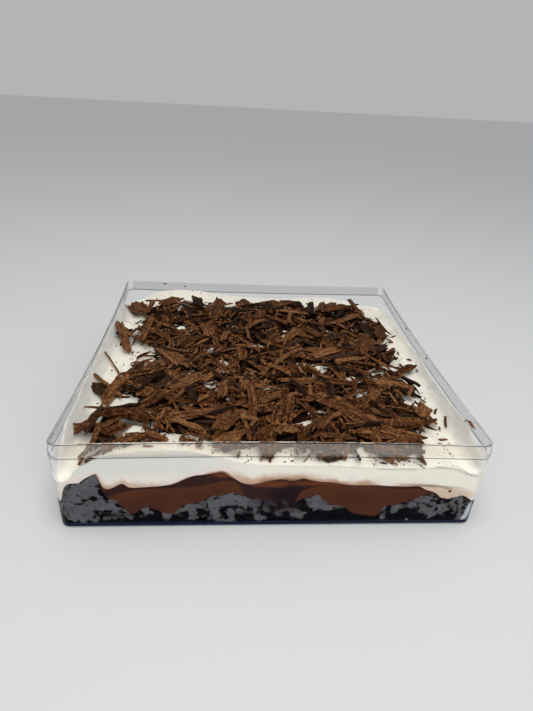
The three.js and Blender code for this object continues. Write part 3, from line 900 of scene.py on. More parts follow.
def stick(rng, found):
    """Sets the clinging bits flat on the walls."""
    for x, y, z, long, wide, tilt, shade in WALL_BITS:
        points, grain = shaving_of("slivers", rng, long, wide)
        along = turned("Z", math.pi / 2 if abs(x) > abs(y) else 0)
        spin = along @ turned("Y", math.radians(tilt)) @ turned("X", math.pi / 2)
        found.append((points @ spin.T + (x, y, z), grain + (rng.uniform(0, 400), 0, shade)))


def bridge_gaps(heap, rng, found):
    """Lays slivers across the small bare places, as they fall in any heap."""
    for x, y, r in BARE:
        if r < NARROW_GAP and y > GAPS_BEHIND:
            for _ in range(2):
                points, grain = shaving_of("slivers", rng, r * rng.uniform(1.8, 3.2), rng.uniform(0.5, 1.1))
                place = (x, y) + rng.normal(0, 0.45 * r, 2)
                turn, roll = rng.uniform(0, TWO_PI), rng.normal(0, 0.3)
                lay(heap, rng, "slivers", points, grain, *place, turn, roll, CLEAR_OVER_GAPS, found)


def covers_bare(points, turn, x, y):
    """Whether a flat shaving would hide a place that stays bare."""
    c, s = math.cos(turn), math.sin(turn)
    px, py = x + c * points[:, 0] - s * points[:, 1], y + s * points[:, 0] + c * points[:, 1]
    return any(np.min((px - a) ** 2 + (py - b) ** 2) < r**2 for a, b, r in BARE)


def drop(heap, rng, kind, found):
    """Lets down one shaving of a kind somewhere in the heap, or none where no place suits it."""
    _, _, lengths, widths, *_, standing = KINDS[kind]
    long = lengths[0] + (lengths[1] - lengths[0]) * rng.beta(1.6, 3.2)
    wide = min(widths[0] + (widths[1] - widths[0]) * rng.beta(1.4, 2.8), 0.65 * long)
    points, grain = shaving_of(kind, rng, long, wide, 0.22)
    for _ in range(PLACES_TRIED):
        spots = rng.uniform(-77, 77, (3, 2))
        spots = spots[rng.uniform(0, 1, 3) < heap_cover(*spots.T)]
        if len(spots) == 0:
            continue
        x, y = spots[np.argmin([heap.depth(a, b) + rng.uniform(0, 2.5) for a, b in spots])]
        turn = rng.uniform(0, TWO_PI)
        if covers_bare(points, turn, x, y):
            continue
        roll = rng.normal(0, 0.3) if rng.uniform() > standing else rng.choice([-1, 1]) * rng.uniform(0.5, 1.4)
        # Painted shade: towards the rear more chance shavings take the dull colour, beyond the few dull ones
        # everywhere.
        dim = rng.uniform() < 0.06 + 0.3 * smooth_step(0, 60, y)
        shade = DULL_SHADE if dim else None
        if lay(heap, rng, kind, points, grain, x, y, turn, roll, CLEAR_SHARE, found, shade):
            return


def join_flakes(name, found, steps, rows, material, heap):
    """One mesh of all the shavings of a kind."""
    pattern = grid_faces(steps, rows)
    each = 2 * steps * rows
    points = np.concatenate([p for p, _ in found])
    grain = np.concatenate([g for _, g in found])
    faces = (pattern[None] + np.arange(len(found))[:, None, None] * each).reshape(-1, 4)
    piece = new_piece(name, points, [faces], [material], FLAKE_CREASE)
    layer = piece.data.attributes.new("grain", "FLOAT_VECTOR", "POINT")
    layer.data.foreach_set("vector", grain.astype(np.float32).reshape(-1))
    # The painted shade by depth is left off at the heap's front edge, which faces the open side.
    open_side = smooth_step(-76, -64, points[:, 1])
    add_values(piece.data, buried=heap.buried(points) * open_side)
    return piece


# ---- the wall that holds it all ----------------------------------------------


def wall_section(sizes):
    """Named half widths and heights of the box, in millimetres."""
    below = (sizes.half - sizes.flare) / MM
    return SimpleNamespace(
        wall=sizes.wall / MM,
        floor=sizes.floor / MM,
        ledge=RIM_TOP - sizes.band / MM,
        step=0.7,
        rim=RIM_HALF,
        band=sizes.half / MM,
        below=below,
        foot=below - sizes.draft / MM,
        corner=sizes.corner / MM,
        round=sizes.foot / MM,
    )


def inner_half(section, height):
    """Half of the clear width inside the box, before the sides lean in."""
    rise = (height - section.floor) / (section.ledge - section.step - section.floor)
    lower = section.foot + (section.below - section.foot) * np.clip(rise, 0, 1)
    flared = smooth_step(section.ledge - section.step, section.ledge + 0.2, height)
    return lower + (section.band - section.below) * flared - section.wall


RIM_ROUND = 0.28  # radius of the rim's rounding
FLOOR_ROUND = 0.6  # radius between the wall and the floor, inside
FLOOR_RING = 6  # width of the flat ring at the edge of the floor, inside and under it


def clear_box_rings(section, outline):
    """Rings up the outside of the box, over its rim and down the inside."""
    wall, corner, foot, rim = section.wall, section.corner, section.foot, section.rim
    ledge, below, band, edge = section.ledge, section.below, section.band, RIM_ROUND
    low_ledge, inner = ledge - section.step, corner - wall
    rise = np.linspace(0.04, 0.98, 9)
    arc = [(1 - math.sin(a), 1 - math.cos(a)) for a in np.linspace(0, math.pi / 2, 5)]
    # Each step is a half width, a height and a corner radius. First the underside and the wall.
    steps = [(foot - section.round - FLOOR_RING, 0, corner - section.round)]
    for s, c in arc:
        inset = section.round * s
        steps.append((foot - inset, section.round * c, corner - inset))
    for r in rise:
        height = section.round + r * (low_ledge - section.round)
        steps.append((foot + (below - foot) * r, height, corner))
    # The flared band and the rim, outside and then inside.
    steps += [
        (below, low_ledge, corner),
        (below + 0.1, low_ledge + 0.2, corner + 0.1),
        (band - 0.08, ledge - 0.12, corner + 0.3),
        (band, ledge + 0.1, corner + 0.4),
        (band, ledge + 0.5, corner + 0.4),
        (rim + 0.03, RIM_TOP - edge - 0.4, corner + 0.2),
    ]
    steps += [(rim - edge * c, RIM_TOP - edge * s, corner + 0.2) for s, c in arc]
    steps += [(rim - wall + edge * s, RIM_TOP - edge * c, inner + 0.2) for s, c in arc]
    steps += [
        (rim - wall, RIM_TOP - edge - 0.4, inner + 0.2),
        (band - wall, ledge + 0.6, inner + 0.4),
        (band - wall - 0.04, ledge + 0.3, inner + 0.3),
        (below - wall + 0.06, low_ledge + 0.3, inner),
        (below - wall, low_ledge, inner),
    ]
    # The wall and the floor, inside.
    for r in rise[::-1]:
        height = section.floor + r * (low_ledge - section.floor)
        steps.append((foot - wall + (below - foot) * r, height, inner))
    for s, c in arc:
        inset = FLOOR_ROUND * c
        steps.append((foot - wall - inset, section.floor + FLOOR_ROUND * s, inner - inset))
    steps.append((foot - wall - FLOOR_ROUND - FLOOR_RING, section.floor, inner - FLOOR_ROUND))
    rings = []
    for half, height, radius in steps:
        ring = outline.ring(half, radius)
        rings.append(np.column_stack([ring, np.full(len(ring), height)]))
    return rings


# ---- node helpers ------------------------------------------------------------


def fill_inputs(tree, node, inputs):
    """Links or sets the inputs of a node, by name or number."""
    for key, value in inputs.items():
        if isinstance(value, bpy.types.NodeSocket):
            tree.links.new(value, node.inputs[key])
        else:
            node.inputs[key].default_value = value
    return node


def add(tree, kind, inputs=None, **settings):
    """A new node with its settings, and its inputs filled or linked by name or number."""
    node = tree.nodes.new(kind)
    for name, value in settings.items():
        setattr(node, name, value)
    return fill_inputs(tree, node, inputs or {})


def plain(rgb, share=1.0):
    """A colour, times a share, with its alpha, as sockets take it."""
    return (*(c * share for c in rgb), 1.0)


def blend(tree, share, a, b):
    """Mixes two colours."""
    node = add(tree, "ShaderNodeMix", {0: share, 6: a, 7: b}, data_type="RGBA", clamp_factor=True)
    return node.outputs[2]


def coated(tree, base, *coats):
    """A base under coats of colour: for each its share, its colour and perhaps a factor for that."""
    for share, *look in coats:
        base = blend(tree, share, base, plain(*look))
    return base


def sums(tree, operation, a, b=0.0, c=0.0):
    """One step of arithmetic."""
    return add(tree, "ShaderNodeMath", {0: a, 1: b, 2: c}, operation=operation).outputs[0]


def times(tree, a, b):
    return sums(tree, "MULTIPLY", a, b)


def scaled(tree, value, factor, offset):
    """A value times a factor, plus an offset."""
    return sums(tree, "MULTIPLY_ADD", value, factor, offset)


def frayed(tree, depth, noise, reach, middle=0.5):
    """A depth whose zero line wanders with a noise, within a reach."""
    return scaled(tree, sums(tree, "SUBTRACT", noise, middle), reach, depth)


def stored(tree, name):
    """A number that the piece keeps at each of its points."""
    return add(tree, "ShaderNodeAttribute", attribute_name=name).outputs["Fac"]


def ramp(tree, value, low, high, to_low=0.0, to_high=1.0):
    """Turns a value between low and high into a soft share."""
    inputs = {"Value": value, "From Min": low, "From Max": high, "To Min": to_low, "To Max": to_high}
    return add(tree, "ShaderNodeMapRange", inputs, interpolation_type="SMOOTHSTEP").outputs[0]


def new_material(name):
    material = bpy.data.materials.new(name)
    material.use_nodes = True
    material.node_tree.nodes.clear()
    return material, material.node_tree


def place_in_mm(tree):
    """Where a point of the piece is, in millimetres."""
    place = add(tree, "ShaderNodeTexCoord").outputs["Object"]
    return add(tree, "ShaderNodeVectorMath", {0: place, "Scale": 1 / MM}, operation="SCALE").outputs[0]


def stretched(tree, place, factors):
    return add(tree, "ShaderNodeVectorMath", {0: place, 1: factors}, operation="MULTIPLY").outputs[0]


def new_group(name, inputs, outputs, tree_kind="ShaderNodeTree"):
    """An empty node group with its sockets, its way in and its way out."""
    group = bpy.data.node_groups.new(name, tree_kind)
    for socket, kind, value in inputs:
        made = group.interface.new_socket(name=socket, in_out="INPUT", socket_type=kind)
        if value is not None:
            made.default_value = value
    for socket, kind in outputs:
        group.interface.new_socket(name=socket, in_out="OUTPUT", socket_type=kind)
    return group, group.nodes.new("NodeGroupInput"), group.nodes.new("NodeGroupOutput")


def patches_group():
    """Uneven patches: a mask of noise, sharp or soft, at a given size."""
    if "Patches" in bpy.data.node_groups:
        return bpy.data.node_groups["Patches"]
    group, way_in, way_out = new_group(
        "Patches",
        [("Place", "NodeSocketVector", None), ("Size", "NodeSocketFloat", 4.0),
         ("Detail", "NodeSocketFloat", 3.0), ("Low", "NodeSocketFloat", 0.4),
         ("High", "NodeSocketFloat", 0.6)],
        [("Mask", "NodeSocketFloat"), ("Noise", "NodeSocketFloat")],
    )
    given = way_in.outputs
    scale = sums(group, "DIVIDE", 1.0, given["Size"])
    inputs = {"Vector": given["Place"], "Scale": scale, "Detail": given["Detail"], "Roughness": 0.6}
    noise = add(group, "ShaderNodeTexNoise", inputs).outputs["Fac"]
    mask = ramp(group, noise, given["Low"], given["High"])
    fill_inputs(group, way_out, {"Mask": mask, "Noise": noise})
    return group


def patches(tree, place, size, low, high, detail=3.0, output="Mask"):
    inputs = {"Place": place, "Size": size, "Detail": detail, "Low": low, "High": high}
    node = tree.nodes.new("ShaderNodeGroup")
    node.node_tree = patches_group()
    return fill_inputs(tree, node, inputs).outputs[output]


def rough(tree, place, size, detail=3.0):
    """The noise of the patches as it is, without their edges."""
    return patches(tree, place, size, 0.0, 1.0, detail, output="Noise")


def finish_surface(tree, base, roughness, height=None, bump=0.3, depth_mm=0.2, **shader):
    """The Principled shader of an opaque food, with relief from a height."""
    inputs = {"Base Color": base, "Roughness": roughness}
    if height is not None:
        inputs["Normal"] = add(
            tree, "ShaderNodeBump", {"Strength": bump, "Distance": depth_mm * MM, "Height": height}
        ).outputs[0]
    inputs.update(shader)
    surface = add(tree, "ShaderNodeBsdfPrincipled", inputs)
    add(tree, "ShaderNodeOutputMaterial", {"Surface": surface.outputs[0]})


# ---- materials ---------------------------------------------------------------

# For the layers that show only through the wall: a gloss of their own would lie on top of the wall's.
NO_SHEEN = {"Specular IOR Level": 0.0}


def plastic_material(name, base, density, clearness):
    """Clear, smooth plastic that lets the light through to what it holds."""
    material, tree = new_material(name)
    inputs = {"Base Color": plain(base), "Roughness": 0.03, "IOR": density, "Transmission Weight": clearness}
    glassy = add(tree, "ShaderNodeBsdfPrincipled", inputs)
    open_way = add(tree, "ShaderNodeBsdfTransparent", {"Color": (0.98, 0.985, 0.99, 1)})
    shadow = add(tree, "ShaderNodeLightPath").outputs["Is Shadow Ray"]
    mixed = add(tree, "ShaderNodeMixShader", {0: shadow, 1: glassy.outputs[0], 2: open_way.outputs[0]})
    add(tree, "ShaderNodeOutputMaterial", {"Surface": mixed.outputs[0]})
    return material


def juice_material(colours):
    """Nearly black juice, with painted blue light of the box's foot towards the bottom."""
    material, tree = new_material("cherry_juice")
    place = place_in_mm(tree)
    height = add(tree, "ShaderNodeSeparateXYZ", {0: place}).outputs["Z"]
    low = ramp(tree, height, 0.9, 2.2, 1.0, 0.6)
    cloud = patches(tree, place, 6.0, 0.35, 0.7)
    dark = blend(tree, cloud, plain(colours.juice), plain(colours.juice, 1.8))
    finish_surface(tree, blend(tree, low, dark, plain(colours.juice_edge)), 0.25, **NO_SHEEN)
    return material


def cake_material(colours):
    """Crumb that is grey in patches where it meets the wall, and black where it is soaked."""
    material, tree = new_material("dark_cake")
    place = place_in_mm(tree)
    jagged = rough(tree, place, 2.4, 5.0)
    lacy = rough(tree, place, 0.9)
    edge = frayed(tree, stored(tree, "dry_depth"), jagged, 7.0, 0.51)
    dry = ramp(tree, frayed(tree, edge, lacy, 3.4), -0.5, 0.5)
    pores = patches(tree, place, 1.6, 0.32, 0.44)
    dry = times(tree, dry, scaled(tree, pores, 0.6, 0.4))
    grain = patches(tree, place, 0.8, 0.3, 0.7, 4.0)
    shade = patches(tree, place, 5.0, 0.3, 0.7)
    dusty = plain(colours.crumb_dry, 0.78)
    grey = coated(tree, dusty, (grain, colours.crumb_dry), (times(tree, shade, 0.6), colours.crumb_dry, 0.6))
    base = blend(tree, dry, plain(colours.crumb_wet), grey)
    soaked = ramp(tree, frayed(tree, stored(tree, "soaked_depth"), jagged, 4.0), -1.0, 4.0, 0.0, 0.75)
    # Painted highlights of the box over the crumb.
    bright = ramp(tree, stored(tree, "bright_depth"), 0.0, 0.9)
    base = coated(tree, base, (soaked, colours.sauce_dark, 1.2), (bright, (0.55, 0.58, 0.6)))
    roughness = ramp(tree, dry, 0, 1, 0.3, 0.9)
    finish_surface(tree, base, roughness, grain, 0.4, 0.3, **NO_SHEEN)
    return material


def pudding_material(colours):
    """Smooth chocolate pudding, a little lighter where it is thin."""
    material, tree = new_material("chocolate_pudding")
    place = place_in_mm(tree)
    below = stored(tree, "below_top")
    thin = ramp(tree, below, 0.4, 5.0, 0.6, 0.0)
    cloud = patches(tree, place, 9.0, 0.4, 0.7)
    lightness = sums(tree, "MAXIMUM", thin, times(tree, cloud, 0.6))
    base = blend(tree, lightness, plain(colours.pudding), plain(colours.pudding_light))
    seam = ramp(tree, below, 0.0, 0.5, 0.6, 0.0)
    fine = patches(tree, place, 1.1, 0.3, 0.7, 4.0)
    base = blend(tree, scaled(tree, fine, 0.12, seam), base, plain(colours.sauce))
    finish_surface(tree, base, 0.45, fine, 0.1, 0.1, **NO_SHEEN)
    return material


def sauce_material(colours):
    """Dark, thick cherry sauce with brown swirls of pudding in it."""
    material, tree = new_material("cherry_sauce")
    place = place_in_mm(tree)
    jagged = rough(tree, place, 4.0, 4.0)
    brown = ramp(tree, frayed(tree, stored(tree, "brown_depth"), jagged, 2.4), -0.5, 0.9)
    fine = patches(tree, place, 2.6, 0.35, 0.75, 4.0)
    base = blend(tree, times(tree, fine, 0.5), plain(colours.sauce), plain(colours.sauce_dark))
    dark = ramp(tree, scaled(tree, jagged, 2.0, stored(tree, "dark_depth")), 0.0, 2.6, 0.0, 0.8)
    base = coated(tree, base, (dark, colours.sauce_dark, 1.2), (brown, colours.sauce_brown))
    finish_surface(tree, base, 0.3, fine, 0.1, 0.15, **NO_SHEEN)
    return material


def cream_material(colours):
    """Soft white cream, stained along its foot by what lies under it."""
    material, tree = new_material("whipped_cream")
    place = place_in_mm(tree)
    names = ("above_foot", "stain_reach", "stain_depth", "tan_depth", "streak_depth", "speck_depth", "film",
             "sweep", "brink")
    above, reach, strength, tan, streak, speck, film, sweep, brink = (stored(tree, name) for name in names)
    wander = patches(tree, place, 4.5, 0.2, 0.8)
    scale = times(tree, reach, sums(tree, "ADD", wander, 0.5))
    stained = times(tree, ramp(tree, sums(tree, "DIVIDE", above, scale), 0.05, 1.0, 1.0, 0.0), strength)
    blush_scale = scaled(tree, wander, 4.0, 2.0)
    blush = ramp(tree, sums(tree, "DIVIDE", above, blush_scale), 0.1, 1.2, 0.8, 0.0)
    mottle = patches(tree, place, 6.0, 0.3, 0.75)
    warm = [c * s for c, s in zip(colours.cream, (0.95, 0.94, 0.9))]
    thin = scaled(tree, rough(tree, place, 7.0, 2.0), 2.4, film)
    drawn_out = stretched(tree, place, (1.0, 0.22, 1.3))
    smears = times(tree, patches(tree, drawn_out, 2.6, 0.4, 0.7, 4.0), ramp(tree, film, 0.6, 3.5, 0.0, 0.7))
    ragged = patches(tree, place, 5.0, 0.3, 0.6)
    base = coated(
        tree, plain(colours.cream),
        (times(tree, mottle, 0.3), warm),
        # painted shade on the front left sweep
        (sweep, colours.cream_cool),
        (ramp(tree, thin, 1.4, 5.2), colours.cream_film),
        (smears, colours.cream_film, 0.8),
        (blush, colours.cream_blush),
        (ramp(tree, tan, -1.6, 1.2), colours.cream_tan),
        (ramp(tree, streak, -0.5, 0.3, 0.0, 0.7), colours.sauce_brown),
        (ramp(tree, stained, 0.0, 0.6), colours.cream_stain),
        (ramp(tree, stained, 0.5, 1.0), colours.sauce_brown),
        (ramp(tree, speck, 0.0, 0.3), colours.pudding),
        # a painted shade line along the top edge of the cream on the front wall
        (times(tree, brink, scaled(tree, ragged, 0.6, 0.2)), colours.cream_film, 0.5),
    )
    fine = patches(tree, place, 0.8, 0.25, 0.75, 5.0)
    soft = {"Subsurface Weight": 0.1, "Subsurface Radius": (0.004, 0.003, 0.002), "Subsurface Scale": 0.4}
    finish_surface(tree, base, 0.5, fine, 0.2, 0.2, **soft)
    return material


def chocolate_material(sizes):
    """Scraped chocolate: fine ridges along each shaving, each one its own shade, with painted shade in the
    relief's hollows and painted light on its crests.
    """
    material, tree = new_material("chocolate_shavings")
    grain = add(tree, "ShaderNodeAttribute", attribute_name="grain").outputs["Vector"]
    shade = add(tree, "ShaderNodeSeparateXYZ", {0: grain}).outputs["Z"]
    ridges = patches(tree, stretched(tree, grain, (0.05, 0.75, 40.0)), 1.0, 0.35, 0.65, 2.0)
    streaks = patches(tree, stretched(tree, grain, (0.12, 1.9, 40.0)), 1.0, 0.35, 0.65)
    spots = patches(tree, place_in_mm(tree), 1.3, 0.33, 0.67, 5.0)
    relief = scaled(tree, streaks, 0.32, times(tree, spots, 0.58))
    relief = scaled(tree, ridges, 0.28, relief)
    # The relief that drives the bump also sets the tone: painted shade in its hollows and painted light on
    # its crests, over the chocolate's own streaks.
    tone = scaled(tree, shade, 0.6, scaled(tree, relief, 0.84, -0.035))
    middle, light = ramp(tree, tone, 0.3, 0.75), ramp(tree, tone, 0.72, 1.15)
    base = coated(tree, plain(sizes.dark), (middle, sizes.middle), (light, sizes.light))
    faded = blend(tree, ramp(tree, tone, 0.1, 0.75), plain(sizes.dull, 0.25), plain(sizes.dull))
    base = blend(tree, ramp(tree, shade, 0.14, 0.17, 0.9, 0.0), base, faded)
    # Painted shade: shavings that lie deep under others are darkened towards the darkest colour.
    base = coated(tree, base, (ramp(tree, stored(tree, "buried"), 0.8, 3.4, 0.0, 0.9), sizes.dark, 0.4))
    roughness = ramp(tree, streaks, 0, 1, 0.55, 0.75)
    finish_surface(tree, base, roughness, relief, 1.0, 0.55, **{"Specular IOR Level": 0.07})
    return material


def core_material(sizes):
    """Matted shavings at the bottom of the heap, coloured at and below the chocolate's darkest as painted
    shade between the loose shavings.
    """
    material, tree = new_material("shaving_core")
    spots = patches(tree, place_in_mm(tree), 1.4, 0.3, 0.7, 4.0)
    base = blend(tree, spots, plain(sizes.dark, 0.4), plain(sizes.dark))
    finish_surface(tree, base, 0.7, spots, 0.6, 0.5, **{"Specular IOR Level": 0.1})
    return material


def floor_material(stage):
    """A plain pale floor."""
    material, tree = new_material("pale_floor")
    place = place_in_mm(tree)
    cloud = patches(tree, place, 400.0, 0.3, 0.7)
    base = coated(tree, plain(stage.floor_colour), (times(tree, cloud, 0.25), stage.floor_colour, 0.96))
    finish_surface(tree, base, 0.6)
    return material


# ---- operators ---------------------------------------------------------------


BOX_PARTS = ("box_corners", "box_floor", "box_walls_y", "box_walls_x", "box_band_front", "box_band_rear",
             "box_band_x", "box_edges")


class DESSERT_OT_clear_box(bpy.types.Operator):
    """Makes the clear plastic box with its flared band and round corners"""

    bl_idname = "dessert.clear_box"
    bl_label = "Clear box"

    def execute(self, context):
        sizes = context.scene.dessert_box
        section = wall_section(sizes)
        outline = Outline(20, 10)
        rings = clear_box_rings(section, outline)
        points, faces = skin(rings, (0, 0, 0), (0, 0, section.floor))
        clear, rear = sizes.plastic, sizes.rear_plastic
        # The front band's lower clearness scatters a pale veil: painted reflection of the bright room. The
        # edges' grey is painted shade.
        looks = ((clear, 1.2, 1.0), (clear, 1.46, 1.0), (clear, 1.12, 1.0), (clear, 1.12, 1.0),
                 (sizes.band_plastic, 1.12, 0.88), (rear, 1.12, 1.0), (rear, 1.12, 1.0),
                 (sizes.edge_plastic, 1.06, 1.0))
        materials = [plastic_material(name, *look) for name, look in zip(BOX_PARTS, looks)]
        piece = new_piece("clear_box_shell", points, faces, materials, BOX_CREASE)
        self.sort_faces(piece.data, section.ledge, section.round)
        hand_over(piece, "clear_plastic", "clear_box")
        return {"FINISHED"}

    @staticmethod
    def sort_faces(mesh, ledge, foot):
        """Sorts the faces into BOX_PARTS, by where they lie and which way they face."""
        normals, middles = triples(mesh.polygons, "normal"), triples(mesh.polygons, "center") / MM
        x, y, z = np.abs(normals.T)
        height = middles[:, 2]
        outward = np.sum(normals[:, :2] * middles[:, :2], 1) > 0
        high = height > ledge + 0.1
        flat = 0.97  # of a normal's length that points one way, for a face to count as flat that way
        lip = outward & (height > RIM_TOP - 0.27) & (z < 0.985)
        step = outward & (height > ledge - 0.4) & (height < ledge + 0.05)
        front = middles[:, 1] < 0
        slot = np.select(
            [lip | step, (z > flat) | (height < foot), (y > flat) & high & front, (y > flat) & high,
             (x > flat) & high, y > flat, x > flat],
            [BOX_PARTS.index("box_" + part) for part in
             ("edges", "floor", "band_front", "band_rear", "band_x", "walls_y", "walls_x")],
            BOX_PARTS.index("box_corners"),
        )
        mesh.polygons.foreach_set("material_index", slot.astype(np.int32))
        mesh.update()


RING_POINTS = (304, 16)  # on each side and each corner of a layer's outline
INTO_WALL = 0.12  # how far a layer reaches into the wall, so that no air shows between them
# Rings of an underside or a hidden top: how far in each lies, and that it keeps every so many-th point.
HIDDEN_TOP = ((1, 1), (3, 1), (8, 2), (20, 4), (40, 8), (60, 16), (74, 32))


def layer_rings(section, under, over, rows, top_insets):
    """Rings of a layer: its underside, its face on the wall, and its top to the middle."""
    outline = Outline(*RING_POINTS)
    corner = section.corner - section.wall
    at_wall = outline.ring(inner_half(section, 15.0), corner)
    low, high = under(*at_wall.T), over(*at_wall.T)
    rings = []

    def flat_ring(inset, every, surface, edge_height):
        half = inner_half(section, edge_height) + INTO_WALL - inset
        radius = corner * np.clip(half / FILL_HALF, 0.05, 1)
        ring = outline.ring(half, radius, every)
        rings.append(np.column_stack([ring, surface(*ring.T)]))

    for inset, every in HIDDEN_TOP[::-1]:
        flat_ring(inset, every, under, low)
    for share in np.linspace(0, 1, rows):
        height = low + (high - low) * share
        ring = outline.ring(inner_half(section, height) + INTO_WALL, corner)
        rings.append(np.column_stack([ring, height]))
    for inset, every in top_insets:
        flat_ring(inset, every, over, high)
    return rings


def fine_top(spacing):
    """Insets of a visible top: fine at the wall, then even, with fewer points as it narrows."""
    insets = [(0.3, 1), (0.8, 1), (1.5, 1)]
    inset, every = 2.4, 2
    while inset < 75:
        insets.append((inset, every))
        if FILL_HALF - inset < FILL_HALF / every:
            every = min(every * 2, 32)
        inset += spacing
    return insets


def make_layer(name, material, under, over, rows, top_insets=HIDDEN_TOP):
    section = wall_section(bpy.context.scene.dessert_box)
    rings = layer_rings(section, under, over, rows, top_insets)
    middle = np.zeros(1)
    start = (0, 0, float(under(middle, middle)[0]))
    end = (0, 0, float(over(middle, middle)[0]))
    points, faces = skin(rings, start, end)
    return new_piece(name, points, faces, [material], LAYER_CREASE)


def points_of(piece):
    """The x, y and z of a piece's points, in millimetres."""
    return (triples(piece.data.vertices, "co").astype(float) / MM).T


def add_dabs(piece, **named):
    """How far inside its nearest dab each point lies, as a named depth for each list of dabs."""
    x, y, z = points_of(piece)
    place = lap_place(x, y)
    add_values(piece.data, **{name + "_depth": dab_depth(place, z, dabs) for name, dabs in named.items()})


class DESSERT_OT_cherry_juice(bpy.types.Operator):
    """Makes the dark juice on the floor of the box"""

    bl_idname = "dessert.cherry_juice"
    bl_label = "Cherry juice"

    def execute(self, context):
        floor = context.scene.dessert_box.floor / MM - 0.05
        material = juice_material(context.scene.dessert_filling)
        piece = make_layer("juice_pool", material, lambda x, y: np.full_like(x, floor), juice_top, 3)
        hand_over(piece, "cherry_juice", "cherry_juice")
        return {"FINISHED"}


class DESSERT_OT_dark_cake(bpy.types.Operator):
    """Makes the dark cake, in broken mounds that are grey in places and soaked in others"""

    bl_idname = "dessert.dark_cake"
    bl_label = "Dark cake"

    def execute(self, context):
        material = cake_material(context.scene.dessert_filling)
        piece = make_layer("cake_crumb", material, juice_top, cake_top, 26)
        x, y, z = points_of(piece)
        place = lap_place(x, y)
        dry = dab_depth(place, z, DRY_FRONT + other_walls(5, 190, (3, 16), (1.2, 8), (0.35, 0.8)))
        wet = dab_depth(place, z, WET_FRONT + other_walls(6, 60, (5, 17), (0.6, 3), (0.2, 0.5)))
        add_values(piece.data, dry_depth=np.minimum(dry, -wet))
        add_dabs(piece, bright=BRIGHT_FRONT, soaked=SOAKED_FRONT)
        hand_over(piece, "dark_cake", "dark_cake")
        return {"FINISHED"}


class DESSERT_OT_chocolate_pudding(bpy.types.Operator):
    """Makes the chocolate pudding, in lenses between the cake's mounds"""

    bl_idname = "dessert.chocolate_pudding"
    bl_label = "Chocolate pudding"

    def execute(self, context):
        material = pudding_material(context.scene.dessert_filling)
        piece = make_layer("pudding_layer", material, cake_top, pudding_top, 12)
        x, y, z = points_of(piece)
        add_values(piece.data, below_top=np.maximum(pudding_top(x, y) - z, 0))
        hand_over(piece, "chocolate_pudding", "chocolate_pudding")
        return {"FINISHED"}


class DESSERT_OT_cherry_sauce(bpy.types.Operator):
    """Makes the cherry sauce that lies on the pudding"""

    bl_idname = "dessert.cherry_sauce"
    bl_label = "Cherry sauce"

    def execute(self, context):
        material = sauce_material(context.scene.dessert_filling)
        piece = make_layer("sauce_layer", material, pudding_top, cream_foot, 12)
        brown = BROWN_FRONT + other_walls(8, 26, (15, 24), (3, 10), (0.15, 0.3))
        add_dabs(piece, brown=brown, dark=DARK_FRONT)
        hand_over(piece, "cherry_sauce", "cherry_sauce")
        return {"FINISHED"}


# Stains at the foot of the cream: place along the walls, spread, how high they reach, strength.
STAINS = [
    (-60, 4, 3, 0.5), (-50, 9, 4.2, 0.44), (-35, 6, 1.6, 0.3), (-20, 5, 1.8, 0.9), (-9, 4, 4.4, 0.6),
    (-3, 5, 3.8, 0.8), (6, 5, 3.2, 0.85), (14, 5, 2.8, 0.75), (24, 6, 3, 0.75), (33.6, 4.4, 3.2, 0.7),
    (50, 7, 1, 0.6), (66, 5, 1.6, 0.3),
    (100, 14, 2.2, 0.6), (146, 10, 2.8, 0.7), (190, 14, 1.8, 0.5), (236, 12, 2.6, 0.7), (300, 14, 2, 0.6),
    (352, 10, 2.8, 0.6), (400, 14, 1.6, 0.5), (452, 12, 2.8, 0.8), (500, 10, 2, 0.4),
]


class DESSERT_OT_whipped_cream(bpy.types.Operator):
    """Makes the whipped cream, spread unevenly up to the walls"""

    bl_idname = "dessert.whipped_cream"
    bl_label = "Whipped cream"

    def execute(self, context):
        material = cream_material(context.scene.dessert_filling)
        piece = make_layer("cream_layer", material, cream_foot, cream_top, 22, fine_top(1.25))
        x, y, z = points_of(piece)
        place = lap_place(x, y)
        reach, strength = np.full(len(x), 0.5), np.full(len(x), 0.12)
        for middle, spread, high, dark in STAINS:
            ahead = ahead_of(middle, place)
            near = np.exp(-0.5 * (ahead / spread) ** 2)
            reach = np.maximum(reach, high * near)
            strength = np.maximum(strength, dark * near)
        at_wall = FILL_HALF - off_middle(x, y) < 6
        top_edge = smooth_step(-1.0, -0.1, z - cream_top(x, y))
        add_values(
            piece.data,
            film=np.where(at_wall, z - cream_line(x, y), 0) * smooth_step(-78, -76, y),
            # where the painted shade of the front left sweep lies
            sweep=smooth_step(8, -34, x) * smooth_step(21, 27, z) * smooth_step(-76.6, -77.6, y),
            # where the painted shade line along the cream's top edge lies
            brink=top_edge * smooth_step(-77.4, -78.2, y) * smooth_step(-14, 2, x),
            above_foot=np.maximum(z - cream_foot(x, y), 0),
            stain_reach=reach,
            stain_depth=strength,
        )
        add_dabs(piece, tan=TAN_FRONT, streak=STREAKS_FRONT, speck=SPECKS_FRONT)
        hand_over(piece, "whipped_cream", "whipped_cream")
        return {"FINISHED"}


CORE_HALF = 70.0  # half of the side of the heap's matted bottom
CORE_MIDDLE = (-3.0, -4.0)
CORE_SINK = 1.6  # how far its underside lies below the cream's top


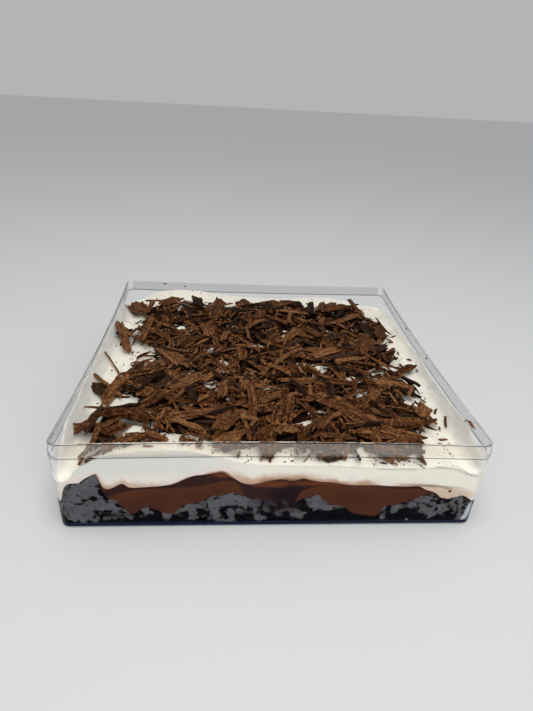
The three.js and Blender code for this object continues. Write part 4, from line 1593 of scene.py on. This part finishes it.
class DESSERT_OT_shaving_core(bpy.types.Operator):
    """Makes the matted bottom of the heap, on which the loose shavings lie"""

    bl_idname = "dessert.shaving_core"
    bl_label = "Bottom of the heap"

    def execute(self, context):
        outline = Outline(40, 6)
        rings = []
        half, middle = CORE_HALF, CORE_MIDDLE

        def ring_at(share, surface):
            ring = outline.ring(half * share, half * share * 0.35) + middle
            rings.append(np.column_stack([ring, surface(*ring.T)]))

        def bottom(x, y):
            return cream_top(x, y) - CORE_SINK

        for share in (0.1, 0.4, 0.7, 0.98):
            ring_at(share, bottom)
        for share in np.linspace(1, 0.02, 96):
            ring_at(share, core_top)
        at = np.array(middle)[:, None]
        start = (*middle, float(bottom(*at)[0]))
        end = (*middle, float(core_top(*at)[0]))
        points, faces = skin(rings, start, end)
        piece = new_piece("shaving_core", points, faces, [core_material(context.scene.dessert_shavings)])
        hand_over(piece, "chocolate_shavings", "chocolate_shavings")
        return {"FINISHED"}


class DESSERT_OT_shavings(bpy.types.Operator):
    """Lets the loose chocolate shavings down onto the cream, in one mesh for each kind"""

    bl_idname = "dessert.shavings"
    bl_label = "Loose shavings"

    def execute(self, context):
        sizes = context.scene.dessert_shavings
        rng = np.random.default_rng(sizes.seed)
        heap = Heap(lambda x, y: np.maximum(cream_top(x, y), core_top(x, y)), HEAP_TOP - TOP_ROOM)
        counts = {"slabs": sizes.slabs, "strips": sizes.strips, "slivers": sizes.slivers}
        order = np.concatenate([np.full(n, kind) for kind, n in counts.items()])
        rng.shuffle(order)
        found = {kind: [] for kind in KINDS}
        for kind in order:
            drop(heap, rng, str(kind), found[str(kind)])
        heap.limit = HEAP_TOP - 0.1
        # One that finds no room under the top of the heap is left out.
        for shavings, shade in ((TOP_SHAVINGS, None), (DARK_SHAVINGS, DULL_SHADE)):
            for x, y, long, wide, degrees in shavings:
                kind = "slabs" if wide > SLAB_WIDTH else "strips" if wide > STRIP_WIDTH else "slivers"
                points, grain = shaving_of(kind, rng, long, wide, uneven=0.2)
                lean = 0.25 * smooth_step(38, 54, y)
                # Painted shade: listed shavings towards the rear are given darker tones.
                tone = rng.uniform(0.18, 0.84 - 0.36 * smooth_step(30, 50, y)) if shade is None else shade
                for share in CLEAR_SHARES:
                    roll = rng.normal(0, 0.12)
                    turn = math.radians(degrees)
                    if lay(heap, rng, kind, points, grain, x, y, turn, roll, share, found[kind], tone, lean):
                        break
        bridge_gaps(heap, rng, found["slivers"])
        stick(rng, found["slivers"])
        material = chocolate_material(sizes)
        for kind, pieces in found.items():
            if not pieces:
                raise RuntimeError("No room was found for the " + kind)
            steps, rows = KINDS[kind][:2]
            piece = join_flakes("chocolate_" + kind, pieces, steps, rows, material, heap)
            hand_over(piece, "chocolate_shavings")
        return {"FINISHED"}


def crumb_tree():
    """Geometry Nodes that strew crumbs over a surface, as thickly as its crumb_share says."""
    tree, way_in, way_out = new_group(
        "Strewn crumbs",
        [("Surface", "NodeSocketGeometry", None), ("Density", "NodeSocketFloat", 1e5),
         ("Smallest", "NodeSocketFloat", 0.0002), ("Largest", "NodeSocketFloat", 0.0007),
         ("Seed", "NodeSocketInt", 1), ("Material", "NodeSocketMaterial", None)],
        [("Crumbs", "NodeSocketGeometry")], "GeometryNodeTree",
    )
    given = way_in.outputs

    def step(kind, inputs, output=0, **settings):
        return add(tree, kind, inputs, **settings).outputs[output]

    def any_between(low, high, seed):
        return step("FunctionNodeRandomValue", {0: low, 1: high, "Seed": seed}, data_type="FLOAT_VECTOR")

    share = step("GeometryNodeInputNamedAttribute", {"Name": "crumb_share"}, data_type="FLOAT")
    where = {"Mesh": given["Surface"], "Density": times(tree, given["Density"], share), "Seed": given["Seed"]}
    spots = step("GeometryNodeDistributePointsOnFaces", where, distribute_method="RANDOM")
    crumb = step("GeometryNodeMeshIcoSphere", {"Radius": 1.0, "Subdivisions": 1})
    sizes = {2: given["Smallest"], 3: given["Largest"], "Seed": given["Seed"]}
    size = step("FunctionNodeRandomValue", sizes, 1, data_type="FLOAT")
    form = any_between((0.6, 0.5, 0.4), (2.6, 1.1, 0.8), 5)
    turn = any_between((-0.6, -0.6, 0.0), (0.6, 0.6, TWO_PI), 9)
    scale = step("ShaderNodeVectorMath", {0: form, "Scale": size}, operation="SCALE")
    strewing = {"Points": spots, "Instance": crumb, "Rotation": turn, "Scale": scale}
    real = step("GeometryNodeRealizeInstances", {0: step("GeometryNodeInstanceOnPoints", strewing)})
    done = step("GeometryNodeSetMaterial", {"Geometry": real, "Material": given["Material"]})
    fill_inputs(tree, way_out, {0: done})
    return tree


class DESSERT_OT_crumbs(bpy.types.Operator):
    """Strews chocolate crumbs over the cream around the heap"""

    bl_idname = "dessert.crumbs"
    bl_label = "Crumbs"

    def execute(self, context):
        sizes = context.scene.dessert_shavings
        surface = bpy.data.objects["cream_layer"].data.copy()
        self.set_share(surface)
        source = put("crumb_source", surface)
        tree = crumb_tree()
        modifier = source.modifiers.new("Strewn crumbs", "NODES")
        modifier.node_group = tree
        given = {"Density": sizes.crumbs, "Smallest": sizes.crumb_small, "Largest": sizes.crumb_large,
                 "Seed": sizes.seed, "Material": bpy.data.materials["chocolate_shavings"]}
        for item in tree.interface.items_tree:
            if item.in_out == "INPUT" and item.name in given:
                modifier[item.identifier] = given[item.name]
        evaluated = source.evaluated_get(context.evaluated_depsgraph_get())
        mesh = bpy.data.meshes.new_from_object(evaluated)
        if not mesh.polygons:
            raise RuntimeError("No crumbs fell on the cream")
        source.modifiers.remove(modifier)
        bpy.data.objects.remove(source)
        hand_over(put("chocolate_crumbs", mesh), "chocolate_shavings")
        return {"FINISHED"}

    @staticmethod
    def set_share(mesh):
        """Where crumbs lie: thickest round the heap's edge, and only on top of the cream."""
        x, y, _ = triples(mesh.vertices, "co").T / MM
        upward = smooth_step(0.5, 0.9, triples(mesh.vertices, "normal")[:, 2])
        cover = heap_cover(x, y)
        edge = np.exp(-(((cover - 0.45) / 0.3) ** 2))
        clumps = smooth_step(-0.2, 0.8, rough_noise(x, y, 7, 101, 2))
        off_wall = smooth_step(FILL_HALF - 0.4, FILL_HALF - 3, off_middle(x, y))
        share = upward * (0.05 + edge * (0.25 + 0.75 * clumps)) * off_wall
        add_values(mesh, crumb_share=share)


class DESSERT_OT_stage(bpy.types.Operator):
    """Makes the floor, the soft lights and the camera"""

    bl_idname = "dessert.stage"
    bl_label = "Stage"

    def execute(self, context):
        scene = context.scene
        stage = scene.dessert_stage
        self.place_camera(scene, stage)
        half = stage.floor_half / MM
        corners = np.array([(-half, -half, 0), (half, -half, 0), (half, half, 0), (-half, half, 0)], float)
        floor = new_piece("floor", corners, [np.array([[0, 1, 2, 3]])], [floor_material(stage)])
        world = bpy.data.worlds.new("pale_room")
        world.use_nodes = True
        world.node_tree.nodes["Background"].inputs["Color"].default_value = (0.985, 0.99, 1.0, 1)
        world.node_tree.nodes["Background"].inputs["Strength"].default_value = 0.46
        scene.world = world
        self.add_light("overhead", (0.0, -0.17, 0.56), 0.4, 1.55, (1.0, 0.985, 0.96))
        self.add_light("front", (0.45, -0.75, 0.45), 0.5, 1.12, (0.98, 0.985, 1.0))
        scene.view_settings.view_transform = "Standard"
        return {"FINISHED"}

    @staticmethod
    def place_camera(scene, stage):
        pitch, roll, yaw = stage.pitch, stage.roll, stage.yaw
        ahead = Vector((math.sin(yaw) * math.cos(pitch), math.cos(yaw) * math.cos(pitch), -math.sin(pitch)))
        level = Vector((math.cos(yaw), -math.sin(yaw), 0))
        upright = level.cross(ahead)
        right = level * math.cos(roll) + upright * math.sin(roll)
        up = upright * math.cos(roll) - level * math.sin(roll)
        turn = Matrix((right, up, -ahead)).transposed()
        data = bpy.data.cameras.new("camera")
        data.lens = stage.lens
        data.sensor_width = 36
        camera = put("camera", data)
        camera.matrix_world = Matrix.Translation(stage.camera_place) @ turn.to_4x4()
        scene.camera = camera

    @staticmethod
    def add_light(name, place, size, power, tint_of_light):
        data = bpy.data.lights.new(name, "AREA")
        data.shape = "SQUARE"
        data.size = size
        data.energy = power
        data.color = tint_of_light
        light = put(name, data)
        light.location = place
        light.rotation_euler = (-Vector(place)).to_track_quat("-Z", "Y").to_euler()


OPERATORS = (
    DESSERT_OT_stage,
    DESSERT_OT_clear_box,
    DESSERT_OT_cherry_juice,
    DESSERT_OT_dark_cake,
    DESSERT_OT_chocolate_pudding,
    DESSERT_OT_cherry_sauce,
    DESSERT_OT_whipped_cream,
    DESSERT_OT_shaving_core,
    DESSERT_OT_shavings,
    DESSERT_OT_crumbs,
)


class DESSERT_PT_panel(bpy.types.Panel):
    """Lists the pieces in the order in which they are made"""

    bl_idname = "DESSERT_PT_panel"
    bl_label = "Cherry pudding"
    bl_space_type = "VIEW_3D"
    bl_region_type = "UI"
    bl_category = "Dessert"

    def draw(self, context):
        for operator in OPERATORS:
            self.layout.operator(operator.bl_idname)


def register():
    for cls in (*SETTINGS.values(), *OPERATORS, DESSERT_PT_panel):
        bpy.utils.register_class(cls)
    for name, cls in SETTINGS.items():
        setattr(bpy.types.Scene, name, PointerProperty(type=cls))


def unregister():
    for name in SETTINGS:
        delattr(bpy.types.Scene, name)
    for cls in (DESSERT_PT_panel, *reversed(OPERATORS), *SETTINGS.values()):
        bpy.utils.unregister_class(cls)


def main():
    register()
    for operator in OPERATORS:
        group, name = operator.bl_idname.split(".")
        getattr(getattr(bpy.ops, group), name)()


if __name__ == "__main__":
    main()
